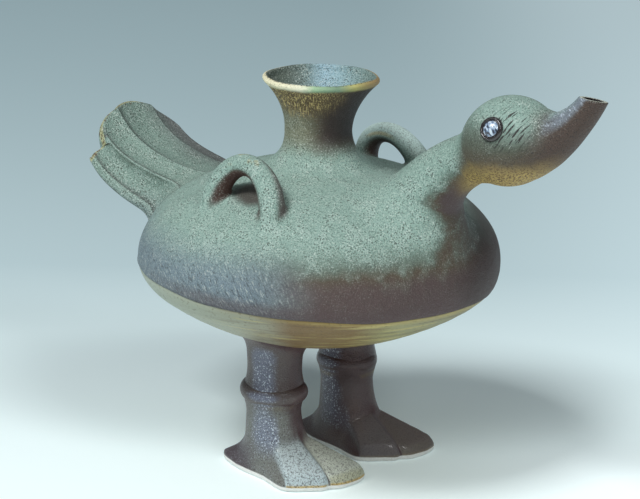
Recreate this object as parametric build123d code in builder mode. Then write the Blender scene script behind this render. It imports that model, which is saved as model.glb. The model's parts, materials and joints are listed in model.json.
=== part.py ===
from build123d import *
from math import atan2, cos, pi, radians, sin, sqrt
import os

# A duck-shaped pouring vessel in fired clay: a turned body on two legs, with a filling neck on top,
# a hollow bird's neck, head and beak that pour, a fluted tail and two lifting loops.
# Sizes are in millimetres. The beak points along +X, +Y is the bird's left and the soles stand on Z = 0.
# While it is modelled, the Z axis is the axis on which the body was turned.

# Turned body: a seam joins bowl and dome, and below it the side turns in under the belly
BODY_WALL = 5.0
BODY_RADIUS = 82.0
EQUATOR_HEIGHT = 98.0
SHOULDER_RISE = 44.5
BELLY_DROP = 38.0
SEAM_DROP = 6.0
TURN_INSET = 7.0
TURN_DROP = 13.5

# Filling neck, with its heights taken from the crown of the dome
NECK_FOOT_RADIUS = 21.0
NECK_FOOT_DROP = 2.0
NECK_WAIST_RADIUS = 15.1
NECK_WAIST_RISE = 13.5
MOUTH_RADIUS = 26.0
MOUTH_RISE = 37.7
MOUTH_LIP = 2.6
THROAT_RADIUS = 11.5
THROAT_RISE = 17.5
NECK_CUT_DEPTH = 12.0

# Bird's neck: each station gives X and Z from the front of the equator, lean of the path in degrees,
# half height and half width
BIRD_NECK_WALL = 3.0
BIRD_NECK_STATIONS = (
    (-36.0, 14.0, 62.0, 27.0, 29.0),
    (-24.5, 33.0, 54.0, 18.5, 19.0),
    (-14.5, 47.5, 44.0, 13.6, 13.6),
    (-2.0, 57.0, 30.0, 11.5, 11.5),
    (14.0, 64.0, 22.0, 11.5, 11.5),
)

# Head, placed from the end of the bird's neck
HEAD_FORWARD = 6.0
HEAD_RISE = 5.0
HEAD_TILT = 20.0
HEAD_HALF_LENGTH = 21.5
HEAD_RADIUS = 18.8
HEAD_WALL = 4.0

# Beak spout: stations as on the bird's neck, but from the middle of the head; a slanting cut at the last
# but one makes its lip
BEAK_WALL = 2.2
LIP_LEAN = 84.4
LIP_TILT = 14.6
BEAK_STATIONS = (
    (2.0, -3.0, 16.0, 14.0, 14.5),
    (14.0, 1.5, 24.0, 12.8, 13.2),
    (24.5, 7.0, 38.0, 9.4, 10.0),
    (33.0, 14.5, 54.0, 6.8, 7.6),
    (39.5, 23.0, 72.0, 5.7, 6.4),
    (40.7, 27.0, 76.0, 5.8, 6.5),
)

# Eyes: pellets pressed into sockets, placed along and above the long axis of the head
EYE_FORWARD = 5.0
EYE_RISE = 6.5
EYE_RADIUS = 4.6
EYE_DIMPLE_RADIUS = 3.2
EYE_SOCKET_DEPTH = 1.3
EYE_RIM_RISE = 1.0
EYE_DIMPLE_RISE = 0.3
EYE_PUPIL_RISE = 1.3

# Tail fan: an arched slab with concave flutes between ridges. Each station gives X and Z of the middle
# from the back of the equator, its lean, half width, fall to the edges and thickness
# Ridges are at these shares of the half width
TAIL_RIDGES = (-1.0, -0.65, -0.34, 0.4, 0.83, 1.0)
TAIL_STATIONS = (
    (26.0, 29.0, 0.0, 24.0, 22.0, 20.0),
    (6.0, 32.5, 0.0, 27.0, 19.5, 16.0),
    (-6.0, 35.5, 3.0, 28.5, 18.0, 11.0),
    (-15.0, 39.0, 6.0, 29.5, 17.0, 8.5),
    (-23.0, 44.0, 9.0, 30.5, 16.0, 7.5),
    (-30.0, 51.0, 12.0, 31.0, 14.0, 6.5),
    (-37.0, 61.5, 14.0, 32.0, 12.0, 6.0),
)
TAIL_ARCH_POWER = 3.0
TAIL_LEFT_FALL = 0.6
TAIL_EDGE = 4.0
TAIL_TURN = 3.0
FLUTE_DEPTH = 0.13

# Scalloped end of the tail, trimmed square to this lean; each notch between lobes gives a share of the
# half width, how far it lies from the tip and the bulge of the lobe that follows, as a share of its chord
TAIL_TRIM_LEAN = 45.0
TAIL_TIP_X = -36.0
TAIL_TIP_RISE = 55.0
TAIL_TIP_HALF_WIDTH = 31.0
TAIL_TIP_TURN = 5.0
TAIL_NOTCHES = (
    (-1.02, 24.5, 0.25),
    (-0.76, 18.6, 0.1),
    (-0.38, 4.3, 0.2),
    (0.45, 7.8, 0.12),
    (0.68, 20.5, 0.1),
    (1.0, 36.0, 0.0),
)
TAIL_TRIM_REACH = 80.0

# Lifting loops, sunk into the dome
LOOP_X = 2.5
LOOP_INSET = 29.0
LOOP_SINK = 5.4
LOOP_HALF_SPAN = 17.5
LOOP_RISE = 21.0
LOOP_LEAN = 10.0
LOOP_COIL_RADIUS = 5.0
LOOP_TUCK_ANGLE = 25.0

# Legs, ankle rings and feet
LEG_X = -3.4
LEG_Y = 25.6
LEG_RADIUS = 12.2
LEG_FLARE_RADIUS = 17.0
LEG_FLARE_DROP = 6.0
LEG_FLARE_RISE = 6.0
LEG_CUT_RISE = 15.0
ANKLE_HEIGHT = 25.0
RIGHT_RING_HEIGHT = 39.0
LEFT_RING_HEIGHT = 42.0
RING_COIL_RADIUS = 4.0
RING_STAND = 2.4

# Outline of a sole round its leg, the same way round on both feet, and how it draws in to the ankle:
# height and share of the way from the outline to the leg
SOLE_THICKNESS = 3.5
FOOT_OUTLINE = (
    (-27.5, -2.5),
    (-13.0, -10.0),
    (5.0, -12.5),
    (20.5, -16.0),
    (30.0, -8.0),
    (36.5, 0.5),
    (39.0, 14.5),
    (34.0, 22.5),
    (17.0, 15.5),
    (0.0, 13.0),
    (-17.0, 9.5),
)
INSTEP_STEPS = ((SOLE_THICKNESS, 0.0), (8.5, 0.5), (15.5, 0.85), (ANKLE_HEIGHT, 1.0))

# Raised toes, wedges from the ankle to the front of the foot: heading in degrees, then place, width and
# height of the root and of the front
MIDDLE_TOE = (-44.0, ((3.0, -1.0), 13.0, 24.5), ((29.5, -8.8), 20.0, 7.0))
INNER_TOE = (-14.0, ((3.0, 3.0), 12.0, 21.0), ((36.6, 8.3), 14.5, 5.0))

# Heights and radii that several pieces share
crown_height = EQUATOR_HEIGHT + SHOULDER_RISE
belly_bottom = EQUATOR_HEIGHT - BELLY_DROP
seam_height = EQUATOR_HEIGHT - SEAM_DROP
turn_height = EQUATOR_HEIGHT - TURN_DROP
turn_radius = BODY_RADIUS - TURN_INSET


def body_outline(inset):
    """Half outline of the body on the XZ plane, moved inward by inset."""
    drop = turn_height - belly_bottom
    underside_radius = (turn_radius**2 + drop**2) / (2 * drop)
    share = inset / underside_radius
    underside_centre = belly_bottom + underside_radius
    bottom = (0, belly_bottom + inset)
    turn = (turn_radius * (1 - share), turn_height + (underside_centre - turn_height) * share)
    equator = (BODY_RADIUS - inset, EQUATOR_HEIGHT)
    top = (0, crown_height - inset)
    TangentArc(bottom, turn, tangent=(1, 0))
    TangentArc(equator, turn, tangent=(0, -1))
    EllipticalCenterArc((0, EQUATOR_HEIGHT), equator[0], top[1] - EQUATOR_HEIGHT, 0, arc_size=90)
    Line(top, bottom)


def station_plane(x, z, lean):
    """Plane across a path in the middle plane of the bird, which leans up by lean degrees."""
    return Plane(origin=(x, 0, z), x_dir=(0, 1, 0), z_dir=(cos(radians(lean)), 0, sin(radians(lean))))


def tube(start, stations, inset):
    """Solid through oval sections at stations from start, made smaller by inset all round."""
    with BuildPart() as solid:
        for x, z, lean, half_height, half_width in stations:
            with BuildSketch(station_plane(start.X + x, start.Z + z, lean)):
                Ellipse(half_width - inset, half_height - inset)
        loft()
    return solid.part


# Outer and inner forms of the body, which every piece luted to it is cut to
with BuildPart() as body_form:
    with BuildSketch(Plane.XZ):
        with BuildLine():
            body_outline(0)
        make_face()
    revolve(axis=Axis.Z)

with BuildPart() as body_hollow:
    with BuildSketch(Plane.XZ):
        with BuildLine():
            body_outline(BODY_WALL)
        make_face()
    revolve(axis=Axis.Z)

# Outer form of the head and the ways through the bird's neck and beak
head_axis = Vector(cos(radians(HEAD_TILT)), 0, sin(radians(HEAD_TILT)))
neck_start = Vector(BODY_RADIUS, 0, EQUATOR_HEIGHT)
neck_end = neck_start + Vector(BIRD_NECK_STATIONS[-1][0], 0, BIRD_NECK_STATIONS[-1][1])
head_middle = neck_end + Vector(HEAD_FORWARD, 0, HEAD_RISE)
head_plane = Plane(origin=head_middle, x_dir=head_axis, z_dir=(0, -1, 0))

with BuildPart() as head_form:
    with BuildSketch(head_plane):
        with BuildLine():
            skull = EllipticalCenterArc((0, 0), HEAD_HALF_LENGTH, HEAD_RADIUS, 0, arc_size=180)
            Line(skull @ 0, skull @ 1)
        make_face()
    revolve(axis=Axis(head_plane.origin, head_axis))

bird_neck_way = tube(neck_start, BIRD_NECK_STATIONS, BIRD_NECK_WALL)
beak_way = tube(head_middle, BEAK_STATIONS, BEAK_WALL)

# Lower bowl of the body, up to the seam where the bare underside meets the glaze
with BuildPart() as belly_bowl:
    add(body_form.part)
    add(body_hollow.part, mode=Mode.SUBTRACT)
    split(bisect_by=Plane.XY.offset(seam_height), keep=Keep.BOTTOM)

# Upper dome of the body, open under the filling neck and under the bird's neck
with BuildPart() as shoulder_dome:
    add(body_form.part)
    add(body_hollow.part, mode=Mode.SUBTRACT)
    split(bisect_by=Plane.XY.offset(seam_height), keep=Keep.TOP)
    add(bird_neck_way, mode=Mode.SUBTRACT)
    with BuildSketch(Plane.XY.offset(EQUATOR_HEIGHT)):
        Circle(THROAT_RADIUS)
    extrude(amount=SHOULDER_RISE, mode=Mode.SUBTRACT)

# Filling neck, turned with a waist and a flared mouth, and luted on top of the dome
with BuildPart() as filling_neck:
    neck_foot = crown_height - NECK_FOOT_DROP
    neck_bottom = neck_foot - NECK_CUT_DEPTH
    mouth = crown_height + MOUTH_RISE
    with BuildSketch(Plane.XZ):
        with BuildLine():
            outside = Spline(
                (NECK_FOOT_RADIUS, neck_foot),
                (NECK_WAIST_RADIUS, crown_height + NECK_WAIST_RISE),
                (MOUTH_RADIUS, mouth - MOUTH_LIP / 2),
                tangents=((-1, 0.35), (1, 0.9)),
            )
            lip = ThreePointArc(
                outside @ 1,
                (MOUTH_RADIUS - MOUTH_LIP / 2, mouth + MOUTH_LIP / 4),
                (MOUTH_RADIUS - MOUTH_LIP, mouth - MOUTH_LIP / 2),
            )
            throat_top = (THROAT_RADIUS, crown_height + THROAT_RISE)
            inside = Spline(lip @ 1, throat_top, tangents=((-1, -0.9), (0, -1)))
            throat = Line(inside @ 1, (THROAT_RADIUS, neck_bottom))
            Polyline(throat @ 1, (NECK_FOOT_RADIUS, neck_bottom), outside @ 0)
        make_face()
    revolve(axis=Axis.Z)
    add(body_form.part, mode=Mode.SUBTRACT)

# Bird's neck, a bent tube between the dome and the head
with BuildPart() as bird_neck:
    add(tube(neck_start, BIRD_NECK_STATIONS, 0))
    add(bird_neck_way, mode=Mode.SUBTRACT)
    add(body_form.part, mode=Mode.SUBTRACT)
    add(head_form.part, mode=Mode.SUBTRACT)

# Beak spout, from the front of the head to the lip
lip_x, lip_z = BEAK_STATIONS[-2][:2]
lip_lean, lip_tilt = radians(LIP_LEAN), radians(LIP_TILT)
lip_plane = Plane(
    origin=head_middle + Vector(lip_x, 0, lip_z),
    z_dir=(cos(lip_lean) * cos(lip_tilt), sin(lip_tilt), sin(lip_lean) * cos(lip_tilt)),
)
with BuildPart() as beak_spout:
    add(tube(head_middle, BEAK_STATIONS, 0))
    add(beak_way, mode=Mode.SUBTRACT)
    add(head_form.part, mode=Mode.SUBTRACT)
    split(bisect_by=lip_plane, keep=Keep.BOTTOM)

# Eye sockets stand square to the side of the head
eye_side = HEAD_RADIUS * sqrt(1 - (EYE_FORWARD / HEAD_HALF_LENGTH) ** 2 - (EYE_RISE / HEAD_RADIUS) ** 2)
eye_lean = (EYE_FORWARD / HEAD_HALF_LENGTH**2, EYE_RISE / HEAD_RADIUS**2, eye_side / HEAD_RADIUS**2)
eye_planes = []
for side in (1, -1):
    centre = head_plane.from_local_coords(Vector(EYE_FORWARD, EYE_RISE, side * eye_side))
    out = head_plane.from_local_coords(
        Vector(EYE_FORWARD + eye_lean[0], EYE_RISE + eye_lean[1], side * (eye_side + eye_lean[2]))
    )
    eye_planes.append(Plane(origin=centre, x_dir=head_axis, z_dir=out - centre))

# Head, a hollow egg open to the neck and the beak, with a socket on each side
with BuildPart() as head:
    add(head_form.part)
    with BuildSketch(head_plane):
        with BuildLine():
            half_length = HEAD_HALF_LENGTH - HEAD_WALL
            hollow = EllipticalCenterArc((0, 0), half_length, HEAD_RADIUS - HEAD_WALL, 0, arc_size=180)
            Line(hollow @ 0, hollow @ 1)
        make_face()
    revolve(axis=Axis(head_plane.origin, head_axis), mode=Mode.SUBTRACT)
    add(bird_neck_way, mode=Mode.SUBTRACT)
    add(beak_way, mode=Mode.SUBTRACT)
    for eye_plane in eye_planes:
        with BuildSketch(eye_plane.offset(-EYE_SOCKET_DEPTH)):
            Circle(EYE_RADIUS)
        extrude(amount=EYE_RADIUS, mode=Mode.SUBTRACT)


def eye(plane):
    """Pellet with a raised rim and a domed middle, seated on the floor of its socket."""
    section = Plane(origin=plane.origin, x_dir=plane.x_dir, z_dir=-plane.y_dir)
    with BuildPart() as pellet:
        with BuildSketch(section):
            with BuildLine():
                pupil = (0, EYE_PUPIL_RISE)
                edge = (EYE_RADIUS, 0)
                dimple = (EYE_DIMPLE_RADIUS, EYE_DIMPLE_RISE)
                rim = ((EYE_RADIUS + EYE_DIMPLE_RADIUS) / 2, EYE_RIM_RISE)
                Polyline(pupil, (0, -EYE_SOCKET_DEPTH), (EYE_RADIUS, -EYE_SOCKET_DEPTH), edge)
                ThreePointArc(edge, rim, dimple)
                Spline(dimple, pupil, tangents=((-1, 0.5), (-1, 0)))
            make_face()
        revolve(axis=Axis(plane.origin, plane.z_dir))
    return pellet


right_eye = eye(eye_planes[0])
left_eye = eye(eye_planes[1])


def tail_section(half_width, fall, thickness):
    """Section across the tail: concave flutes between ridges on top, one bow underneath."""
    ridges = []
    for share in TAIL_RIDGES:
        arch = 1 - (1 - abs(share) ** TAIL_ARCH_POWER) ** (1 / TAIL_ARCH_POWER)
        drop = fall if share > 0 else fall * TAIL_LEFT_FALL
        ridges.append(Vector(share * half_width, -drop * arch))
    for start, end in zip(ridges, ridges[1:]):
        chord = end - start
        ThreePointArc(start, (start + end) / 2 + Vector(chord.Y, -chord.X) * FLUTE_DEPTH, end)
    edge = Vector(0, -TAIL_EDGE)
    Line(ridges[-1], ridges[-1] + edge)
    ThreePointArc(ridges[-1] + edge, (0, -thickness), ridges[0] + edge)
    Line(ridges[0] + edge, ridges[0])


# Tail fan, luted to the back of the dome and turned a little to the bird's right
tail_base = Plane.XY.rotated((0, 0, TAIL_TURN))
tail_start = Vector(-BODY_RADIUS, 0, EQUATOR_HEIGHT)
trim_lean = radians(TAIL_TRIM_LEAN)
trim_plane = Plane(
    origin=tail_base.from_local_coords(tail_start + Vector(TAIL_TIP_X, 0, TAIL_TIP_RISE)),
    x_dir=tail_base.y_dir,
    z_dir=tail_base.x_dir * sin(trim_lean) + tail_base.z_dir * cos(trim_lean),
).rotated((0, 0, -TAIL_TIP_TURN))
with BuildPart() as tail_fan:
    for x, z, lean, half_width, fall, thickness in TAIL_STATIONS:
        middle = tail_base.from_local_coords(tail_start + Vector(x, 0, z))
        heading = tail_base.z_dir * sin(radians(lean)) - tail_base.x_dir * cos(radians(lean))
        with BuildSketch(Plane(origin=middle, x_dir=-tail_base.y_dir, z_dir=heading)):
            with BuildLine():
                tail_section(half_width, fall, thickness)
            make_face()
    loft()
    with BuildSketch(trim_plane):
        with BuildLine():
            notches = [Vector(share * TAIL_TIP_HALF_WIDTH, -drop) for share, drop, bulge in TAIL_NOTCHES]
            for start, end, (share, drop, bulge) in zip(notches, notches[1:], TAIL_NOTCHES):
                chord = end - start
                crown = (start + end) / 2 + Vector(-chord.Y, chord.X) * bulge
                ThreePointArc(start, crown, end)
            Polyline(
                notches[-1],
                (TAIL_TRIM_REACH, notches[-1].Y),
                (TAIL_TRIM_REACH, -2 * TAIL_TRIM_REACH),
                (-TAIL_TRIM_REACH, -2 * TAIL_TRIM_REACH),
                (-TAIL_TRIM_REACH, notches[0].Y),
                notches[0],
            )
        make_face()
    extrude(amount=TAIL_TRIM_REACH, both=True, mode=Mode.INTERSECT)
    add(body_form.part, mode=Mode.SUBTRACT)


def loop(side):
    """Coil bent into an arch on one shoulder, leaning in a little at the top."""
    lean = radians(LOOP_LEAN)
    reach = BODY_RADIUS - LOOP_INSET
    shoulder = EQUATOR_HEIGHT + SHOULDER_RISE * sqrt(1 - (reach / BODY_RADIUS) ** 2)
    foot = (LOOP_X, side * reach, shoulder - LOOP_SINK)
    arch_plane = Plane(origin=foot, x_dir=(1, 0, 0), z_dir=(0, -cos(lean), -side * sin(lean)))
    with BuildPart() as coil:
        with BuildLine(arch_plane) as path:
            EllipticalCenterArc(
                (0, 0), LOOP_HALF_SPAN, LOOP_RISE, -LOOP_TUCK_ANGLE, arc_size=180 + 2 * LOOP_TUCK_ANGLE
            )
        with BuildSketch(Plane(origin=path.line @ 0, z_dir=path.line % 0)):
            Circle(LOOP_COIL_RADIUS)
        sweep()
        add(body_form.part, mode=Mode.SUBTRACT)
    return coil


right_loop = loop(-1)
left_loop = loop(1)


def leg_section(side):
    """Upright plane through the axis of one leg."""
    return Plane(origin=(LEG_X, side * LEG_Y, 0), x_dir=(1, 0, 0), z_dir=(0, -1, 0))


def leg(side):
    """Solid leg from the ankle, flared where it is luted under the belly."""
    section = leg_section(side)
    with BuildPart() as shaft:
        with BuildSketch(section):
            with BuildLine():
                flare_start = (LEG_RADIUS, belly_bottom - LEG_FLARE_DROP)
                flare_end = (LEG_FLARE_RADIUS, belly_bottom + LEG_FLARE_RISE)
                top = belly_bottom + LEG_CUT_RISE
                Polyline((0, ANKLE_HEIGHT), (LEG_RADIUS, ANKLE_HEIGHT), flare_start)
                TangentArc(flare_start, flare_end, tangent=(0, 1))
                Polyline(flare_end, (LEG_FLARE_RADIUS, top), (0, top), (0, ANKLE_HEIGHT))
            make_face()
        revolve(axis=Axis(section.origin, (0, 0, 1)))
        add(body_form.part, mode=Mode.SUBTRACT)
    return shaft


def ankle_ring(side, height):
    """Coil wrapped round one leg at a height and pressed on to it."""
    section = leg_section(side)
    with BuildPart() as ring:
        with BuildSketch(section):
            with Locations((LEG_RADIUS + RING_STAND - RING_COIL_RADIUS, height)):
                Circle(RING_COIL_RADIUS)
            with Locations((LEG_RADIUS, height)):
                Rectangle(
                    2 * RING_COIL_RADIUS,
                    2 * RING_COIL_RADIUS,
                    align=(Align.MAX, Align.CENTER),
                    mode=Mode.SUBTRACT,
                )
        revolve(axis=Axis(section.origin, (0, 0, 1)))
    return ring


def foot_outline(share):
    """Closed outline round the leg, between the sole and the round of the ankle."""
    points = []
    for x, y in FOOT_OUTLINE:
        turn = atan2(y, x)
        points.append((
            x + (LEG_RADIUS * cos(turn) - x) * share,
            y + (LEG_RADIUS * sin(turn) - y) * share,
        ))
    Spline(*points, periodic=True)


def foot(side):
    """Webbed foot: a flat sole, an instep drawn in to the ankle and two raised toes."""
    floor = Plane(origin=(LEG_X, side * LEG_Y, 0))
    with BuildPart() as slab:
        with BuildSketch(floor):
            with BuildLine():
                foot_outline(0)
            make_face()
        extrude(amount=SOLE_THICKNESS)
        for height, share in INSTEP_STEPS:
            with BuildSketch(floor.offset(height)):
                with BuildLine():
                    foot_outline(share)
                make_face()
        loft()
        for turn, *ends in (MIDDLE_TOE, INNER_TOE):
            heading = Vector(cos(radians(turn)), sin(radians(turn)), 0)
            for place, width, height in ends:
                toe_origin = floor.from_local_coords(Vector(*place, 0))
                with BuildSketch(Plane(origin=toe_origin, x_dir=(-heading.Y, heading.X, 0), z_dir=heading)):
                    Rectangle(width, height, align=(Align.CENTER, Align.MIN))
            loft(ruled=True)
    return slab


right_leg = leg(-1)
left_leg = leg(1)
right_ankle_ring = ankle_ring(-1, RIGHT_RING_HEIGHT)
left_ankle_ring = ankle_ring(1, LEFT_RING_HEIGHT)
right_foot = foot(-1)
left_foot = foot(1)

# The origin is on the floor under the middle of the length, from the tail to the beak
front = beak_spout.part.bounding_box().max.X
back = tail_fan.part.bounding_box().min.X
axis_x = -(front + back) / 2

pieces = {
    "belly_bowl": belly_bowl,
    "shoulder_dome": shoulder_dome,
    "filling_neck": filling_neck,
    "bird_neck": bird_neck,
    "head": head,
    "beak_spout": beak_spout,
    "right_eye": right_eye,
    "left_eye": left_eye,
    "tail_fan": tail_fan,
    "right_loop": right_loop,
    "left_loop": left_loop,
    "right_leg": right_leg,
    "left_leg": left_leg,
    "right_ankle_ring": right_ankle_ring,
    "left_ankle_ring": left_ankle_ring,
    "right_foot": right_foot,
    "left_foot": left_foot,
}

os.makedirs("parts", exist_ok=True)
for label, piece in pieces.items():
    piece.part.position = (axis_x, 0, 0)
    piece.part.label = label
    export_step(piece.part, f"parts/{label}.step")
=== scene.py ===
# %% [markdown]
# # A duck-shaped pouring vessel
# The real object is a stoneware pourer, thrown and coiled by hand, with a runny ash glaze. Its CAD
# part has the right sizes and hollows, but plain joins and no colour. Here each CAD piece gets a
# mesh with soft, luted joins and a glaze that is painted by shader maths. The turning axis of the
# body is found from the bowl, because every shape below is measured in millimetres from that axis.

# %% Load the part
import json
import math

import bmesh
import bpy
import numpy as np
from mathutils import Matrix, Vector

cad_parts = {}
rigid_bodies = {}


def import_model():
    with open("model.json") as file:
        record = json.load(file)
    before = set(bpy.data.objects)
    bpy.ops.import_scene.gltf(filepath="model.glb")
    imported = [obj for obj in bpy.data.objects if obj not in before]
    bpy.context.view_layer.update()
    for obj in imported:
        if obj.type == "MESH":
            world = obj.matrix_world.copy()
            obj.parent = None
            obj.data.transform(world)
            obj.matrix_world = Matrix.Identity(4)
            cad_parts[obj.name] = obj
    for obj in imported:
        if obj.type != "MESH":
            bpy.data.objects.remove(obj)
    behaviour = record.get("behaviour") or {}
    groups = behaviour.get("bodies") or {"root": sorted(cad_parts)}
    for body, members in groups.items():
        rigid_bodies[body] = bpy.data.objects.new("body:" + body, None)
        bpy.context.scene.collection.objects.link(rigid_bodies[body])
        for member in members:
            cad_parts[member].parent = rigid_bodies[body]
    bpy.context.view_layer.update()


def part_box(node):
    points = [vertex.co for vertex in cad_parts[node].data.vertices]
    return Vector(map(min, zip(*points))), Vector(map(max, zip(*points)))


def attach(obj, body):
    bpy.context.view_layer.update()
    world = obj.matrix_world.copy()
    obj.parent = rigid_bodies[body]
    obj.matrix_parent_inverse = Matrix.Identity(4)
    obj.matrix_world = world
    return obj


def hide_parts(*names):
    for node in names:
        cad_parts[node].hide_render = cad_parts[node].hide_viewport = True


for thing in list(bpy.data.objects):
    bpy.data.objects.remove(thing)
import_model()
low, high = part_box("belly_bowl")
AXIS = 500 * (low.x + high.x)
print("turning axis", round(AXIS, 2), "mm from the middle of the part")

# %% [markdown]
# ## Meshes from rings
# Clay coils and thrown pots are all stacks of rings, so one helper turns a stack of rings into a mesh.
# Doubled points at poles and seams are merged and the faces are turned outward.
# A potter's hand is never quite steady, so a slow wobble moves the points a fraction of a millimetre.
# Curves with a Screw or a Bevel could make such meshes too, but rings can be bent, cut and joined freely.

# %% Lines and rings
def smooth_rows(rows, steps):
    """A smooth line through the rows of a table, with so many steps between neighbours."""
    rows = np.asarray(rows, float)
    rows = np.vstack([2 * rows[0] - rows[1], rows, 2 * rows[-1] - rows[-2]])
    t = np.arange(steps)[:, None] / steps
    line = []
    for a, b, c, d in zip(rows, rows[1:], rows[2:], rows[3:]):
        line.append(b + 0.5 * t * (c - a + t * (2 * a - 5 * b + 4 * c - d + t * (3 * b - a - 3 * c + d))))
    return np.vstack(line + [rows[-2:-1]])


def bezier(a, b, c, d, steps):
    """Points on a curve from a to d that b and c pull at."""
    t = np.linspace(0, 1, steps)[:, None]
    a, b, c, d = (np.asarray(p, float) for p in (a, b, c, d))
    return (1 - t) ** 3 * a + 3 * t * (1 - t) ** 2 * b + 3 * t * t * (1 - t) * c + t**3 * d


def spin(profile, around, centre=(0, 0)):
    """Rings round an upright axis from a profile of radius and height."""
    turn = np.linspace(0, 2 * np.pi, around, endpoint=False)
    radius, height = np.asarray(profile, float).T[:, :, None]
    x = centre[0] + radius * np.cos(turn)
    y = centre[1] + radius * np.sin(turn)
    return np.stack([x, y, height + 0 * turn], -1)


print("lines and rings ready")

# %% Meshes and pieces
WAVE_LENGTH, WOBBLE, WAVE_STARTS = 40.0, 0.15, (0.4, 1.7, 3.1)
WAVES = np.array([(1.0, 0.7, -0.4), (-0.6, 1.1, 0.5), (0.5, -0.3, 1.2)]) * 2 * np.pi / WAVE_LENGTH


def wobble(points):
    """Moves points by slow waves, as a hand does; pieces that touch move together."""
    return points + WOBBLE * np.sin(points @ WAVES.T + WAVE_STARTS)


def mesh_of(name, rings, joined=False, **marks):
    """Closed mesh through rings of points, in millimetres from the turning axis, with marks at the points."""
    rings = wobble(np.asarray(rings, float))
    count, around = rings.shape[:2]
    index = np.arange(count * around).reshape(count, around)
    upper = np.roll(index, -1, 0) if joined else index[1:]
    lower = index if joined else index[:-1]
    faces = np.stack([lower, np.roll(lower, -1, 1), np.roll(upper, -1, 1), upper], -1).reshape(-1, 4).tolist()
    if not joined:
        faces += [index[0].tolist(), index[-1].tolist()]
    mesh = bpy.data.meshes.new(name)
    mesh.from_pydata(((rings.reshape(-1, 3) + (AXIS, 0, 0)) / 1000).tolist(), [], faces)
    for mark, values in marks.items():
        layer = mesh.attributes.new(mark, "FLOAT", "POINT")
        layer.data.foreach_set("value", np.ascontiguousarray(values, dtype=np.float32).ravel())
    work = bmesh.new()
    work.from_mesh(mesh)
    bmesh.ops.remove_doubles(work, verts=work.verts, dist=1e-6)
    bmesh.ops.dissolve_degenerate(work, edges=work.edges, dist=1e-7)
    bmesh.ops.recalc_face_normals(work, faces=work.faces)
    for face in work.faces:
        face.smooth = True
    work.to_mesh(mesh)
    work.free()
    return mesh


def piece(name, mesh, material, node):
    """An object for one piece, which stands for its CAD node."""
    made = bpy.data.objects.new(name, mesh)
    bpy.context.scene.collection.objects.link(made)
    if not mesh.materials:
        mesh.materials.append(material)
    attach(made, "root")
    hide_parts(node)
    print(name, len(mesh.polygons), "faces")
    return made


print("slow waves of", WAVE_LENGTH, "mm")

# %% [markdown]
# ## Soft joins
# A potter lutes two pieces with slip and smooths the join with a finger, which leaves a soft fillet.
# `lute` finds where a tube leaves the piece that carries it and bends its end out into a skirt
# that lies on the carrier. It needs the distance from the carrier's surface, so the body and the head
# each have a function for it. A Boolean and a Bevel could make a fillet as well, but they often tear where
# two curved pieces meet, and they would make one mesh of pieces that are apart in the CAD part.

# %% Surfaces that carry others
RADIUS, EQUATOR, RISE, BOTTOM = 82.0, 98.0, 44.5, 60.0
TURN_RADIUS, TURN_HEIGHT, WALL = 75.0, 84.5, 5.0
inset, drop = RADIUS - TURN_RADIUS, EQUATOR - TURN_HEIGHT
side_radius = (inset**2 + drop**2) / (2 * inset)
side_centre = RADIUS - side_radius
lift = TURN_HEIGHT - BOTTOM
under_radius = (TURN_RADIUS**2 + lift**2) / (2 * lift)
under_centre = BOTTOM + under_radius


def body_gap(p):
    """Distance of points from the outside of the body, negative inside."""
    r, z = np.hypot(p[..., 0], p[..., 1]), p[..., 2]
    q = np.hypot(r / RADIUS, (z - EQUATOR) / RISE) + 1e-9
    steep = np.hypot(r / RADIUS**2, (z - EQUATOR) / RISE**2) + 1e-9
    side = np.hypot(r - side_centre, z - EQUATOR) - side_radius
    under = np.hypot(r, z - under_centre) - under_radius
    on_side = (TURN_RADIUS - side_centre) * (z - EQUATOR) + drop * (r - side_centre) > 0
    return np.where(z >= EQUATOR, (q - 1) * q / steep, np.where(on_side, side, under))


HEAD, HEAD_TILT = np.array((102.0, 0.0, 167.0)), math.radians(20)
HEAD_AXIS = np.array((math.cos(HEAD_TILT), 0, math.sin(HEAD_TILT)))
HEAD_UP = np.array((-math.sin(HEAD_TILT), 0, math.cos(HEAD_TILT)))
HEAD_SIZES = np.array((21.5, 18.8, 18.8))


def head_gap(p):
    """Distance of points from the outside of the head, negative inside."""
    local = np.stack([(p - HEAD) @ HEAD_AXIS, p[..., 1], (p - HEAD) @ HEAD_UP], -1)
    q = np.linalg.norm(local / HEAD_SIZES, axis=-1) + 1e-9
    return (q - 1) * q / (np.linalg.norm(local / HEAD_SIZES**2, axis=-1) + 1e-9)


print("body turns under at", round(side_radius, 1), "mm radius")

# %% Luting
SLOPE_STEP, SETTLING_STEPS = 0.05, 4
MOST_SKIPPED, SKIRT_SUNK, SKIRT_DIP = 0.6, 1.5, 0.25


def outward(gap, p):
    """Directions square to a carrier's surface."""
    slope = np.stack([gap(p + step) - gap(p - step) for step in np.eye(3) * SLOPE_STEP], -1)
    return slope / np.linalg.norm(slope, axis=-1, keepdims=True)


def crossing(line, over, last):
    """Where a line goes through a surface, between the point with number last and the next one."""
    return line[last] + (line[last + 1] - line[last]) * over[last] / (over[last] - over[last + 1])


def even_points(line, count, skip=0.0):
    """So many points at even distances along a line, without its first skip millimetres."""
    length = np.concatenate([[0], np.cumsum(np.linalg.norm(np.diff(line, axis=0), axis=1))])
    places = np.linspace(min(skip, MOST_SKIPPED * length[-1]), length[-1], count)
    return np.stack([np.interp(places, length, axis) for axis in line.T], 1)


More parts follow.
